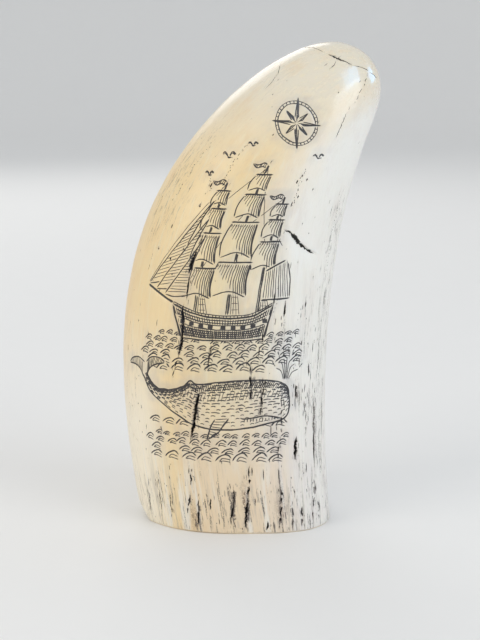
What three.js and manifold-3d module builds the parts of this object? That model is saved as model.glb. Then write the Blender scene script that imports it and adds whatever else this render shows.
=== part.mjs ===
// A whale tooth standing on its sawn root: one solid piece of ivory that widens a little above the
// foot, then leans over to a blunt tip. The front carries the deepest drying splits and a flaked
// scar, and the foot has a chipped corner. Finer cracks and the engraving are left to the skin.
// Millimetres. +Z is up, +X the side the tip leans to, -Y the engraved front.
import * as THREE from "three";
import { ConvexGeometry } from "three/addons/geometries/ConvexGeometry.js";
import { mergeVertices } from "three/addons/utils/BufferGeometryUtils.js";
import Module from "manifold-3d";

const wasm = await Module();
wasm.setup();

// Middle line: the four control points of a cubic curve in the XZ plane, [x, z].
const MIDDLE_LINE = [[0, 0], [-11, 80.5], [5, 120.5], [38, 147.8]];
const HALF_WIDTH = 34.5; // of an untapered section
const TAPER_POWER = 2.37; // the higher, the longer the tooth stays full
const TIP_POWER = 0.47; // 0.5 gives a round tip, less a blunter one
const FOOT_NARROWING = 0.114; // share of the half width lost at the foot
const TIP_TILT = 0.546; // radians the last section leans over
const TIP_TILT_POWER = 6; // how late the sections start to lean
const DEPTH_TO_WIDTH = [0.77, 0.88]; // foot, tip
const LEAN_SIDE_SQUARENESS = [3.1, 2.2]; // superellipse power of the +X half: foot, tip
const OUTER_SIDE_SQUARENESS = [2.0, 2.1]; // the same of the -X half
const SQUARENESS_GONE = 0.7; // share of the height where the +X half has its tip's power

const COLUMNS = 96; // around a section
const ROWS = 40; // foot to tip
const FOOT_BEVEL = 0.5; // worn edge of the saw cut
const TRACE_STEP = 1e-3; // of share or radian, when a distance is traced along the face

// Shallow hollows down the foot's face, where the ivory has dried along its grain.
// across: mm around from the front's middle; fades out at the height.
const HOLLOWS = [
  { across: -26, depth: 0.45, halfWidth: 3.4, height: 34 },
  { across: 4, depth: 0.4, halfWidth: 2.6, height: 26 },
  { across: 15, depth: 0.35, halfWidth: 2.4, height: 24 },
  { across: 27, depth: 0.45, halfWidth: 3, height: 30 },
];

// Splits along the grain: points are [across, up] on the face.
const SPLITS = [
  { path: [[-13.1, 90], [-13.6, 86], [-13.2, 81.5]], width: 1.3, depth: 1.1 },
  { path: [[-13.2, 74], [-14, 70], [-13.4, 65], [-13.6, 60], [-14.4, 55]], width: 1.0, depth: 1.2 },
  { path: [[-7.1, 47], [-8.4, 40.5], [-9.7, 35.5], [-10.9, 29.5]], width: 1.3, depth: 1.6 },
  { path: [[22.3, 31.5], [21.9, 27.5], [21.5, 23.5]], width: 1.2, depth: 1.6 },
  { path: [[29.6, 45], [29.6, 32], [28.8, 18.5]], width: 0.8, depth: 0.8 },
  { path: [[7, 23], [5.3, 11.5], [3.4, 1.5]], width: 1.2, depth: 1.2 },
];
const BLADE_LIFT = 1; // how far a cutting blade stands out of the face
const BLADE_END = 0.04; // share of its run over which a blade keeps its least width
const BLADE_FULLNESS = 0.5; // power of the swell between its ends: the less, the sooner it is full

// The scar: a ledge above and to the right, and a floor that runs out to the face below it.
const SCAR_LEDGE = [[11.8, 96.2], [14, 95.6], [16.1, 93.9], [18, 92.2], [21.3, 89.9], [25.3, 88.1]];
const SCAR_RUNOUT = [[13.6, 89.5], [17.5, 84.5], [23, 82.4], [27, 84.4]];
const SCAR_DEPTH = 0.9;
const SCAR_AIR = 3.5; // how far the scar's cutter stands out of the face

// Chips off the foot's edge: middle of the chip by angle from the front, its depth into the corner
// and the slope of its face (0 lies level, a quarter turn stands upright).
const CHIPS = [
  { angle: -1.42, depth: 1.9, slope: 1.0 },
  { angle: 2.5, depth: 0.9, slope: 0.65 },
];
const CHIP_CUTTER = 40; // side of the cube that takes a chip off

const mix = (pair, share) => pair[0] + (pair[1] - pair[0]) * share;
const powered = (value, power) => Math.sign(value) * Math.abs(value) ** power;

// The middle line at a share of its run.
function middle(share) {
  const back = 1 - share;
  const weights = [back ** 3, 3 * back ** 2 * share, 3 * back * share ** 2, share ** 3];
  return [0, 1].map((axis) =>
    weights.reduce((sum, weight, i) => sum + weight * MIDDLE_LINE[i][axis], 0),
  );
}

function halfWidth(share) {
  return (
    HALF_WIDTH *
    Math.max(1 - share ** TAPER_POWER, 0) ** TIP_POWER *
    (1 - FOOT_NARROWING * (1 - share) ** 3)
  );
}

// A point of the plain face. The angle is 0 at the front's middle and grows towards +X.
function plainFace(share, angle, inset = 0) {
  const [x, z] = middle(share);
  const width = halfWidth(share) - inset;
  const depth = halfWidth(share) * mix(DEPTH_TO_WIDTH, share) - inset;
  const power =
    Math.sin(angle) > 0
      ? mix(LEAN_SIDE_SQUARENESS, Math.min(share / SQUARENESS_GONE, 1))
      : mix(OUTER_SIDE_SQUARENESS, share);
  const across = width * powered(Math.sin(angle), 2 / power);
  const tilt = TIP_TILT * share ** TIP_TILT_POWER;
  return new THREE.Vector3(
    x + across * Math.cos(tilt),
    -depth * powered(Math.cos(angle), 2 / power),
    z - across * Math.sin(tilt),
  );
}

// The face's outward normal, from its two directions.
function faceNormal(share, angle) {
  const around = plainFace(share, angle + TRACE_STEP).sub(plainFace(share, angle - TRACE_STEP));
  const higher = plainFace(share + TRACE_STEP, angle);
  const up = higher.sub(plainFace(Math.max(share - TRACE_STEP, 0), angle));
  return around.cross(up).normalize();
}

// Where [across, up] lies: millimetres up the front's middle, then around that section.
function onFace(across, up) {
  let share = 0;
  for (let run = 0; run < up; share += TRACE_STEP)
    run += plainFace(share + TRACE_STEP, 0).distanceTo(plainFace(share, 0));
  let angle = 0;
  const turn = Math.sign(across) * TRACE_STEP;
  for (let run = 0; run < Math.abs(across); angle += turn)
    run += plainFace(share, angle + turn).distanceTo(plainFace(share, angle));
  return { point: plainFace(share, angle), normal: faceNormal(share, angle) };
}

// How far the hollows sink the face at a share and angle.
function hollowAt(share, angle) {
  const height = middle(share)[1];
  const across = Math.sin(angle) * HALF_WIDTH; // near enough to place a soft hollow
  let sunk = 0;
  for (const hollow of HOLLOWS) {
    if (Math.cos(angle) < 0) continue;
    const side = (across - hollow.across) / hollow.halfWidth;
    const rise = Math.max(1 - height / hollow.height, 0);
    sunk += hollow.depth * Math.exp(-side * side) * rise;
  }
  return sunk;
}

function facePoint(share, angle) {
  const point = plainFace(share, angle);
  const sunk = hollowAt(share, angle);
  if (sunk > 0) point.addScaledVector(new THREE.Vector3(point.x, point.y, 0).normalize(), -sunk);
  return point;
}

// Rings from the sawn foot to the tip, closed by one point at each end.
function toothBody() {
  // A cubic curve sets out at three times its second control point.
  const bevelShare = FOOT_BEVEL / (3 * MIDDLE_LINE[1][1]);
  const shares = [bevelShare];
  for (let row = 1; row < ROWS; row++) shares.push(Math.sin(((row / ROWS) * Math.PI) / 2));
  const positions = [];
  const angles = Array.from({ length: COLUMNS }, (_, i) => (i / COLUMNS) * 2 * Math.PI - Math.PI);
  for (const angle of angles) positions.push(...plainFace(0, angle, FOOT_BEVEL).toArray());
  for (const share of shares)
    for (const angle of angles) positions.push(...facePoint(share, angle).toArray());
  const [tipX, tipZ] = middle(1);
  positions.push(0, 0, 0, tipX, 0, tipZ);
  const rings = shares.length + 1;
  const foot = rings * COLUMNS;
  const tip = foot + 1;
  const faces = [];
  for (let i = 0; i < COLUMNS; i++) {
    const next = (i + 1) % COLUMNS;
    faces.push(foot, next, i);
    for (let ring = 0; ring + 1 < rings; ring++) {
      const low = ring * COLUMNS;
      const high = low + COLUMNS;
      faces.push(low + i, low + next, high + next, low + i, high + next, high + i);
    }
    const last = (rings - 1) * COLUMNS;
    faces.push(last + i, last + next, tip);
  }
  return solidOfFaces(positions, faces);
}

function solidOfFaces(positions, faces) {
  return new wasm.Manifold(
    new wasm.Mesh({
      numProp: 3,
      vertProperties: new Float32Array(positions),
      triVerts: new Uint32Array(faces),
    }),
  );
}

function solidOf(geometry) {
  geometry.deleteAttribute("normal");
  geometry.deleteAttribute("uv");
  const merged = mergeVertices(geometry);
  return solidOfFaces(merged.attributes.position.array, merged.index.array);
}

// A V-shaped blade that follows a path on the face and comes to nothing at both ends.
function splitBlade({ path, width, depth }) {
  const places = path.map(([across, up]) => onFace(across, up));
  const curve = new THREE.CatmullRomCurve3(places.map((place) => place.point));
  const stations = 2 * path.length + 1;
  const positions = [];
  for (let i = 0; i <= stations; i++) {
    const run = i / stations;
    const swell = Math.sin(Math.PI * Math.min(Math.max(run, BLADE_END), 1 - BLADE_END));
    const full = swell ** BLADE_FULLNESS;
    const middlePoint = curve.getPoint(run);
    const nearest = places[Math.round(run * (places.length - 1))];
    const side = curve.getTangent(run).cross(nearest.normal).normalize();
    const half = ((width / 2) * full * (depth + BLADE_LIFT)) / depth;
    const outer = middlePoint.clone().addScaledVector(nearest.normal, BLADE_LIFT);
    positions.push(...outer.clone().addScaledVector(side, -half).toArray());
    positions.push(...outer.clone().addScaledVector(side, half).toArray());
    positions.push(...middlePoint.addScaledVector(nearest.normal, -depth * full).toArray());
  }
  const faces = [0, 2, 1];
  for (let i = 0; i < stations; i++)
    for (let edge = 0; edge < 3; edge++) {
      const a = 3 * i + edge;
      const b = 3 * i + ((edge + 1) % 3);
      faces.push(a, b + 3, a + 3, a, b, b + 3);
    }
  const end = 3 * stations;
  faces.push(end, end + 1, end + 2);
  return solidOfFaces(positions, faces);
}

// The scar's cutter: the hull of its sunk ledge, its run-out on the face and the air in front.
function scarCutter() {
  const points = [];
  const place = ([across, up], depth) => {
    const { point, normal } = onFace(across, up);
    points.push(point.clone().addScaledVector(normal, -depth));
    points.push(point.clone().addScaledVector(normal, SCAR_AIR));
  };
  SCAR_LEDGE.forEach((spot) => place(spot, SCAR_DEPTH));
  SCAR_RUNOUT.forEach((spot) => place(spot, 0));
  return solidOf(new ConvexGeometry(points));
}

// A cube whose near face lies where the chip broke away.
function chipCutter({ angle, depth, slope }) {
  const corner = plainFace(0, angle);
  const out = new THREE.Vector3(corner.x, corner.y, 0).setLength(Math.sin(slope));
  const facing = out.setZ(-Math.cos(slope));
  const cube = new THREE.BoxGeometry(CHIP_CUTTER, CHIP_CUTTER, CHIP_CUTTER);
  const turn = new THREE.Quaternion().setFromUnitVectors(new THREE.Vector3(0, 0, 1), facing);
  cube.applyQuaternion(turn);
  cube.translate(...corner.addScaledVector(facing, CHIP_CUTTER / 2 - depth).toArray());
  return solidOf(cube);
}

let tooth = toothBody();
for (const split of SPLITS) tooth = tooth.subtract(splitBlade(split));
tooth = tooth.subtract(scarCutter());
for (const chip of CHIPS) tooth = tooth.subtract(chipCutter(chip));
// Crumbs left where two cuts graze the face are dropped.
tooth = tooth.decompose().reduce((most, body) => (body.volume() > most.volume() ? body : most));

const shape = tooth.getMesh();
const geometry = new THREE.BufferGeometry();
geometry.setAttribute("position", new THREE.BufferAttribute(shape.vertProperties, 3));
geometry.setIndex(new THREE.BufferAttribute(shape.triVerts, 1));

const ivory = new THREE.MeshStandardMaterial({ name: "ivory", color: 0xeee0bf, roughness: 0.4 });
const whaleTooth = new THREE.Mesh(mergeVertices(geometry, 1e-4), ivory);
whaleTooth.name = "whale_tooth";
whaleTooth.geometry.computeVertexNormals();

const part = new THREE.Group();
part.name = "scrimshaw_whale_tooth";
part.add(whaleTooth);
export default part;
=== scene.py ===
"""A scrimshaw whale tooth: ivory skin with cut and inked lines, drying splits and a flaked scar."""

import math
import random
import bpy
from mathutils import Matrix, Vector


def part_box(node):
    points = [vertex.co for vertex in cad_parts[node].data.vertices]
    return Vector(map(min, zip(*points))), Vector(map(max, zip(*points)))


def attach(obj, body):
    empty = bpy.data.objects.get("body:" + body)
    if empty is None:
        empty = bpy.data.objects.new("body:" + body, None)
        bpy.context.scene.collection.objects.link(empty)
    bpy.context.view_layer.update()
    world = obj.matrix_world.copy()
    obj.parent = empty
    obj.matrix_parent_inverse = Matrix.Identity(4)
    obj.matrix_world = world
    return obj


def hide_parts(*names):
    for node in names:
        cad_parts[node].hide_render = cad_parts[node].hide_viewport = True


bl_info = {
    "name": "Scrimshaw Whale Tooth",
    "version": (1, 0, 0),
    "blender": (4, 5, 0),
    "location": "View3D > Sidebar > Tooth",
    "description": "Models an engraved whale tooth and the stage it stands on",
    "category": "Add Mesh",
}

from types import SimpleNamespace

import bpy
import numpy as np
from mathutils import Vector
from mathutils.geometry import delaunay_2d_cdt

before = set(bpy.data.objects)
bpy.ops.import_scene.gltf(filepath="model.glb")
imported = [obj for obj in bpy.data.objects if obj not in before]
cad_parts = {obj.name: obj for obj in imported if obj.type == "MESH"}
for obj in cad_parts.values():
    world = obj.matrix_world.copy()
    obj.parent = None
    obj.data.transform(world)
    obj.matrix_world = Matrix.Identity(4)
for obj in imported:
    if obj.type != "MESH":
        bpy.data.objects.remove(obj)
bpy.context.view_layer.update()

MM = 0.001
TOOTH_NODE = "whale_tooth"

# ---------------------------------------------------------------- the tooth's form, in millimetres
# The solid's own form: its middle line leans and bends in the XZ plane towards +X.
MIDDLE_LINE = ((0.0, 0.0), (-11.0, 80.5), (5.0, 120.5), (38.0, 147.8))
TAPER_POWER = 2.37
TIP_POWER = 0.47
TIP_TILT_POWER = 6
DEPTH_TO_WIDTH = (0.77, 0.88)
LEAN_SIDE_SQUARENESS = (3.1, 2.2)
OUTER_SIDE_SQUARENESS = (2.0, 2.1)
SQUARENESS_GONE = 0.7

# Shallow hollows down the foot's face: across from the front's middle, depth, half width, height.
HOLLOWS = ((-26, 0.45, 3.4, 34), (4, 0.4, 2.6, 26), (15, 0.35, 2.4, 24), (27, 0.45, 3.0, 30))

# Places on the face are (across, up): around from the front's middle line, and up along it.
SCAR_LEDGE = ((11.8, 96.2), (14, 95.6), (16.1, 93.9), (18, 92.2), (21.3, 89.9), (25.3, 88.1))
SCAR_RUNOUT = ((13.6, 89.5), (17.5, 84.5), (23, 82.4), (27, 84.4))
SCAR_DEPTH = 0.9
SCAR_STEP = 0.15  # how far the ledge's face leans out
SCAR_RIPPLE = 0.05  # height of the ripples on its floor
SCRAPED_DEPTH = 0.07  # mean depth of the flats that scraping left
SCRAPE_WAVES = ((0.31, 0.05, 1.0), (-0.11, 0.17, 2.0), (0.29, 0.43, 0.0))  # across, up, start

# Chips off the foot's edge: angle from the front, depth into the corner, slope of the broken face.
CHIPS = ((-1.42, 1.9, 1.0), (2.5, 0.9, 0.65))

# Splits: width, depth, share of the run that is closed up, and the places they pass.
WIDE_SPLITS = (
    (0.45, 0.4, 0.25, ((-11.8, 94.6), (-12.1, 92), (-12.6, 89))),
    (1.35, 1.0, 0.0, ((-12.5, 89.8), (-13.1, 87.2), (-13.5, 84.5), (-13.4, 81.5))),
    (0.5, 0.5, 0.1, ((-13.4, 82), (-13.2, 78), (-13.1, 73.5))),
    (1.0, 1.0, 0.0, ((-13.2, 74), (-14, 70), (-13.4, 65), (-13.7, 60), (-14.4, 55))),
    (0.5, 0.4, 0.3, ((-14.5, 55.5), (-15.4, 52), (-15.8, 49.5))),
    (0.6, 0.6, 0.15, ((-3.4, 63.5), (-4.2, 58.5), (-5.3, 52.3))),
    (1.4, 1.6, 0.0, ((-7.1, 47.2), (-8.4, 40.5), (-9.7, 35.5), (-10.9, 29.3))),
    (0.7, 0.6, 0.35, ((-11, 21.4), (-11.6, 18), (-12, 15.4))),
    (0.8, 0.6, 0.3, ((-12.8, 12), (-13.6, 9), (-14.6, 6))),
    (0.75, 0.8, 0.15, ((-9.6, 13.5), (-10.5, 7.5), (-11.4, 1.4))),
    (0.8, 0.8, 0.1, ((12.9, 50), (12.1, 46.3), (11.6, 42), (11.2, 38))),
    (0.8, 0.8, 0.15, ((7.9, 55), (8.2, 50), (8.0, 43.2))),
    (0.85, 0.8, 0.0, ((22.5, 47.8), (22.6, 43.2))),
    (1.4, 1.6, 0.0, ((22.3, 31.6), (21.9, 27.5), (21.5, 23.3))),
    (0.75, 0.8, 0.15, ((29.6, 46), (29.8, 38), (29.6, 32), (29.2, 25), (28.8, 18.2))),
    (0.6, 0.5, 0.35, ((16.5, 29.5), (16.2, 24))),
    (1.1, 1.2, 0.1, ((7, 23), (6.2, 16.5), (5.3, 11.5), (4.2, 6), (3.3, 1.0))),
    (0.6, 0.7, 0.3, ((1.4, 17), (0.4, 9.5), (-1.1, 2.0))),
    (0.75, 0.8, 0.25, ((16.2, 15), (15.4, 8), (13.9, 1.1))),
    (0.8, 0.6, 0.0, ((10.6, 4.4), (10.1, 1.0))),
    (0.65, 0.7, 0.2, ((19.4, 10.6), (18.9, 6), (18.2, 1.0))),
    (0.75, 0.7, 0.2, ((22.3, 8.6), (21.4, 1.1))),
    (0.85, 0.8, 0.3, ((28.6, 16.5), (27.4, 9), (25.8, 1.4))),
    (0.6, 0.5, 0.3, ((-6.1, 12), (-6.7, 7.6))),
    (0.6, 0.5, 0.3, ((29.9, 9), (29.0, 2.2))),
    (0.45, 0.4, 0.4, ((26.2, 44.0), (26.1, 36.0), (25.7, 28.0))),
    (0.45, 0.4, 0.4, ((31.6, 66.0), (31.9, 56.0), (31.8, 48.0))),
    (0.5, 0.4, 0.4, ((17.9, 45.0), (17.6, 37.0), (17.2, 31.0))),
    (0.4, 0.4, 0.4, ((33.4, 40.0), (33.2, 28.0), (32.4, 16.0))),
    (0.45, 0.4, 0.4, ((-23.4, 20.0), (-24.0, 11.0), (-24.6, 3.0))),
    (0.4, 0.4, 0.4, ((-28.4, 16.0), (-29.2, 8.0), (-29.8, 2.0))),
    (0.4, 0.35, 0.4, ((-19.4, 13.0), (-20.0, 7.0), (-20.3, 2.5))),
    (0.7, 0.6, 0.2, ((62, 58), (61, 49), (61.5, 41))),
    (0.6, 0.5, 0.25, ((74, 24), (72, 12), (71, 1.5))),
    (0.7, 0.7, 0.2, ((50, 20), (49, 11), (47.5, 1.2))),
    (0.6, 0.5, 0.2, ((-66, 30), (-64.5, 16), (-62.5, 1.5))),
    (0.5, 0.4, 0.25, ((-52, 64), (-53, 55), (-53, 47))),
    (0.5, 0.4, 0.3, ((-43, 12), (-42, 6), (-41.5, 1.5))),
)

# How ragged splits and pores are. Lips are given as shares of half the width, least and most.
SPLIT_STEP = 0.55
SPLIT_WANDER = 0.16
SPLIT_LIPS = (0.25, 1.2)
SLIVER_SPACING = 3.2
PORE_LIPS = (0.6, 1.1)
PORE_LENGTHS = (0.5, 5.0)
PORE_WIDTHS = (0.18, 0.5)
PORES_STOP = 14  # below the tip
FEWEST_PORES = 0.07  # chance of a pore where they are fewest
NARROWEST_LIP = 0.01  # keeps a closed end's two lips apart

# Short dashes and pits along the grain: across, up, length, width.
DASHES = (
    (27.4, 51.6, 5.0, 0.8), (24.1, 60.4, 2.0, 0.6), (10.4, 58.6, 4.2, 0.6), (11.3, 62.8, 3.4, 0.8),
    (17.2, 71.0, 5.4, 1.0), (13.5, 74.5, 5.6, 0.7), (24.3, 72.2, 2.2, 0.6), (-23.6, 95.9, 1.6, 0.6),
    (-14.9, 109.3, 2.0, 0.9), (-15.9, 102.6, 0.9, 0.9), (-26.6, 88.8, 1.0, 0.8),
    (-17.2, 89.4, 0.9, 0.8), (-20.8, 86.2, 1.4, 0.8), (-19.2, 81.5, 0.9, 0.6),
    (11.0, 113.3, 1.2, 0.8), (10.4, 111.3, 1.6, 0.7), (13.1, 112.0, 1.4, 0.6),
    (12.6, 106.4, 1.5, 0.7), (11.6, 104.0, 2.2, 0.5), (16.4, 108.8, 1.1, 0.5),
    (29.0, 58.5, 4.5, 0.5), (20.0, 57.0, 3.0, 0.4), (25.6, 40.0, 5.0, 0.5), (18.6, 41.5, 4.0, 0.5),
    (14.2, 33.5, 5.5, 0.45), (25.4, 20.5, 4.0, 0.5), (10.9, 19.5, 5.0, 0.45),
)

# Lines of faint pits: the places they pass and how many pits there are.
PIT_ROWS = (
    (((-10.2, 122.3), (-11.2, 114.8), (-11.2, 108.1), (-11.3, 99.3)), 34),
    (((-15.8, 111.0), (-14.4, 107.6)), 9),
    (((11.6, 115.6), (11.2, 110.4), (12.2, 103.4)), 16),
    (((-22.0, 122.0), (-24.5, 112.0), (-26.5, 104.0)), 16),
    (((14.5, 77.6), (14.0, 70.5)), 10),
    (((30.0, 104.0), (31.0, 92.0), (32.0, 80.0)), 24),
)

# Cracks in the polished tip: width, depth, closed share, places.
TIP_CRACKS = (
    (0.3, 0.2, 0.2, ((-20.7, 154.5), (-12.9, 156.8), (-6.4, 156.7))),
    (0.75, 0.5, 0.0, ((-6.8, 156.7), (-2.7, 156.8), (-0.1, 156.8), (2.4, 156.7))),
    (0.5, 0.35, 0.0, ((2.2, 156.7), (5.4, 157.6), (8.0, 157.2))),
    (0.35, 0.25, 0.1, ((7.8, 157.2), (10.6, 156.6), (13.5, 155.4))),
    (0.35, 0.25, 0.1, ((-2.5, 158.4), (-2.7, 156.8), (-2.4, 154.0), (-2.3, 151.5))),
    (0.3, 0.25, 0.15, ((7.6, 156.8), (8.9, 153.2), (10.5, 148.3), (12.3, 141.7), (11.9, 140.6))),
    (0.3, 0.2, 0.3, ((11.9, 140.4), (12.8, 135.8), (14.6, 128.9), (15.0, 125.6))),
    (0.28, 0.2, 0.1, ((-18.8, 149.2), (-15.6, 145.9), (-15.2, 139.0))),
)

# Soft grey bands where dirt has crept along the grain: half width, strength, places.
BANDS = (
    (1.9, 0.95, ((16.4, 30), (15.6, 14), (14, 0.6))),
    (1.25, 0.95, ((7.2, 25), (5.3, 11.5), (3.3, 0.6))),
    (0.9, 0.6, ((1.8, 19), (0.4, 9.5), (-1.1, 0.8))),
    (1.5, 0.85, ((29.8, 47), (29.8, 30), (28.4, 12), (27, 0.8))),
    (1.2, 0.7, ((22.2, 33), (21.8, 16), (21.2, 0.8))),
    (1.3, 0.8, ((-10.8, 24), (-12.4, 14), (-14.6, 3))),
    (1.2, 0.8, ((-9.4, 16), (-10.5, 7.5), (-11.4, 0.8))),
    (1.5, 0.75, ((-23.6, 24), (-24.8, 12), (-26, 0.8))),
    (1.2, 0.6, ((-19, 17), (-20.2, 8), (-20.8, 1))),
    (1.6, 0.5, ((-30.5, 58), (-31, 46), (-31, 38))),
    (1.3, 0.7, ((32.4, 74), (32.6, 52), (31.8, 26))),
    (1.0, 0.55, ((12.2, 64), (11.6, 52), (11, 38))),
    (1.2, 0.6, ((18.2, 76), (17.4, 62), (17.2, 48))),
    (1.1, 0.55, ((25, 76), (25.2, 60), (25, 44))),
    (1.0, 0.5, ((-5.9, 15), (-6.6, 7), (-6.9, 1))),
    (1.2, 0.6, ((10.6, 16), (10.2, 8), (9.9, 0.8))),
    (1.6, 0.6, ((27, 108), (29.5, 96), (31, 84))),
    (2.2, 0.5, ((-16, 122), (-21, 112), (-25, 102))),
    (1.8, 0.45, ((-8, 118), (-10.5, 108), (-11.5, 97))),
    (1.8, 0.6, ((62, 60), (61, 49), (60, 30))),
    (1.6, 0.6, ((50, 24), (49, 11), (47.5, 0.8))),
    (1.6, 0.6, ((-66, 34), (-64.5, 16), (-62.5, 0.8))),
    (1.4, 0.5, ((40, 60), (39.5, 40), (38, 14))),
)

# Brown stains: across, up, and half their size each way.
STAINS = ((15.2, 8.4, 1.5, 3.4), (4.6, 11.0, 0.9, 6.0), (-12.0, 5.0, 1.2, 5.0))

# ------------------------------------------------------------------- the engraving, in millimetres
PATH_STEP = 0.4  # between the places that a line is cut through
PATH_TOLERANCE = 0.035  # how far a cut line may leave its path
LONGEST_PIECE = 5.0
SHORTEST_LINE = 0.25
LONGEST_RAMP = 0.9
PRESSURE = (0.82, 1.12)  # how the hand's pressure varies, as shares of a line's width and depth
SHIP_PLACE = (-0.5, 62.5)
WHALE_PLACE = (-3.0, 41.0)
STAR_PLACE = (0.5, 131.0)
STAR_SIZE = 7.6
STAR_RINGS = (0.74, 0.84)
UPPER_LEAN = 0.57  # radians from upright of the tooth's middle line, where the star is
GULLS = ((-13.5, 118.5, 4.6), (-8.0, 122.6, 3.2), (13.2, 119.6, 3.8), (-17.0, 112.6, 3.0))

# Stretches of sea: lowest and highest row, how many, half width, size of a crest, shift across.
NEAR_SEA = (24.0, 31.5, 4, 25.0, 4.4, -1.0)
WHALE_SEA = (35.2, 35.6, 1, 26.0, 4.0, 0.0)
SHIP_SEA = (52.4, 63.2, 6, 27.5, 4.0, 0.0)

# The ship, from SHIP_PLACE. Masts: place, height, half width of the largest sail, lowest tier.
MASTS = ((-9.6, 48.0, 4.7, 0), (0.2, 54.0, 5.4, 0), (9.2, 44.0, 4.1, 1))
DECK = 7.0
LOWEST_SAIL = 8.2
# Sails on a mast: foot and head as shares of its height, widths there as shares of the largest.
SAIL_TIERS = (
    (0.10, 0.33, 1.00, 0.90), (0.36, 0.60, 0.88, 0.70), (0.63, 0.79, 0.68, 0.54),
    (0.815, 0.93, 0.52, 0.40),
)
# Headsails, nearest first: top, outer corner and inner corner.
HEADSAILS = (
    ((-10.6, 31.0), (-20.2, 12.9), (-12.6, 13.0)),
    ((-10.9, 37.0), (-23.6, 14.3), (-14.6, 16.0)),
    ((-11.2, 42.5), (-26.8, 15.6), (-17.2, 18.8)),
)
STAYS = (
    ((-9.6, 47.5), (-27.2, 15.6)), ((-9.6, 38.0), (-22.5, 13.4)), ((0.2, 53.0), (-9.6, 40.0)),
    ((0.2, 41.0), (-9.2, 22.0)), ((9.2, 43.5), (0.6, 34.0)), ((0.2, 53.5), (9.2, 24.0)),
    ((9.2, 43.5), (14.2, 11.0)), ((16.4, 24.6), (9.6, 33.0)),
)

# The whale's blow, from its blowhole: how far each spout leans and how high it rises.
BLOWHOLE = (22.0, 7.6)
BLOW = ((-3.4, 5.8), (-2.1, 8.4), (-0.8, 9.6), (0.6, 10.0), (2.0, 9.0), (3.4, 7.0), (4.6, 4.6))

# -------------------------------------------------- the skin's mesh, its marks and map, in millimetres
SMUDGE_REACH = 1.5  # how far dirt spreads beside a split
FULL_SMUDGE_DEPTH = 0.7  # splits as deep as this are dirtiest
FRONT_HALF = 44.0  # how far to each side the front's closer points go
BORDER_STEP = 1.6
ROW_SPACING = 0.88  # of the step along a row
FIRST_ROW = 0.8
CLEAR_OF_EDGE = 1.0
CLEAR_OF_LINES = 0.22
POINT_SHIFT = 0.12  # of the step
FOOT_RINGS = (1.0, 0.94, 0.82, 0.66, 0.48, 0.3, 0.12)
SHADING_ANGLE = 34  # degrees, past which an edge stays sharp

# Ink rubbed into close lines greys the ivory. How close they are is counted on a grid of cells.
WASH_CELL = 1.6
WASH_CELLS = (170, 120)
WASH_ORIGIN = (80, 4)

# The bake's map runs from 0 to 1 each way: room for a millimetre, and the places things go to.
MAP_FRONT_HALF = 46.0
MAP_FRONT_ROOM = 0.0073
MAP_BACK_ROOM = 0.0031
MAP_LOWEST = 0.012
MAP_HEIGHT = 0.976
FOOT_MAP_PLACE = (0.07, 0.935)
FOOT_MAP_SCALE = 0.0019
RIM_ON_FOOT_MAP = 1.02  # the bevel's outer edge is drawn this much larger

# ----------------------------------------------------------------------------------- the material
MARKS = ("ink", "grime", "smudge", "fresh", "foot", "stain", "wash")

# Noise patterns: how much they are squeezed along the grain, scale, detail and roughness.
PATTERNS = {
    "clouds": (1.0, 0.55, 3.0, 0.55),
    "drift": (0.35, 1.6, 4.0, 0.6),
    "streaks": (0.06, 9.0, 5.0, 0.6),
    "stripes": (0.04, 4.2, 3.0, 0.5),
    "hairs": (0.05, 30.0, 3.0, 0.6),
    "dashes": (0.16, 13.0, 3.0, 0.6),
    "strands": (0.045, 14.0, 2.5, 0.6),
    "speckle": (1.0, 22.0, 3.0, 0.65),
    "crumble": (0.5, 46.0, 2.0, 0.6),
}

# Colours that go over the warm and the cool ivory, all opaque.
TINTS = {
    "tip": (0.78, 0.735, 0.62, 1),
    # Whiter ivory on the +X side, partly bleaching and partly painted cool light.
    "bleached": (0.86, 0.84, 0.78, 1),
    "middle": (0.81, 0.70, 0.46, 1),
    "deep warm": (0.79, 0.56, 0.29, 1),
    "deep cool": (0.74, 0.68, 0.62, 1),
    "pale warm": (0.86, 0.76, 0.54, 1),
    "pale cool": (0.87, 0.87, 0.84, 1),
    "rosy": (0.80, 0.64, 0.48, 1),
    "lilac": (0.72, 0.65, 0.64, 1),
    # Painted light: a pale cream that lifts the shade low on the outer side.
    "cream_painted_light": (0.92, 0.85, 0.70, 1),
    # Painted shade: a darker brown towards the sides, where the face turns away from the light.
    "outer edge": (0.70, 0.48, 0.27, 1),
    "chalk": (0.86, 0.85, 0.80, 1),
    "grey stripe": (0.44, 0.39, 0.33, 1),
    "fibre": (0.08, 0.066, 0.06, 1),
    "dust": (0.36, 0.32, 0.29, 1),
    "fleck": (0.20, 0.16, 0.13, 1),
    "speck": (0.45, 0.36, 0.25, 1),
    "fresh": (0.88, 0.89, 0.86, 1),
    "stain": (0.20, 0.10, 0.06, 1),
    "wash": (0.33, 0.36, 0.44, 1),
    "sawn pale": (0.70, 0.57, 0.38, 1),
    "sawn dark": (0.52, 0.38, 0.22, 1),
    "smudge": (0.40, 0.35, 0.31, 1),
    "smear": (0.10, 0.082, 0.075, 1),
}

# ----------------------------------------------------------------------------- the stage, in metres
STAGE_RADIUS = 2.6
STAGE_WALL = 1.5
STAGE_CURVE = 0.8
SKY_COLOUR = (0.93, 0.96, 1.0, 1.0)
SKY_STRENGTH = 0.74
LAMP_TARGET = (0.0, 0.0, 0.07)
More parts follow.
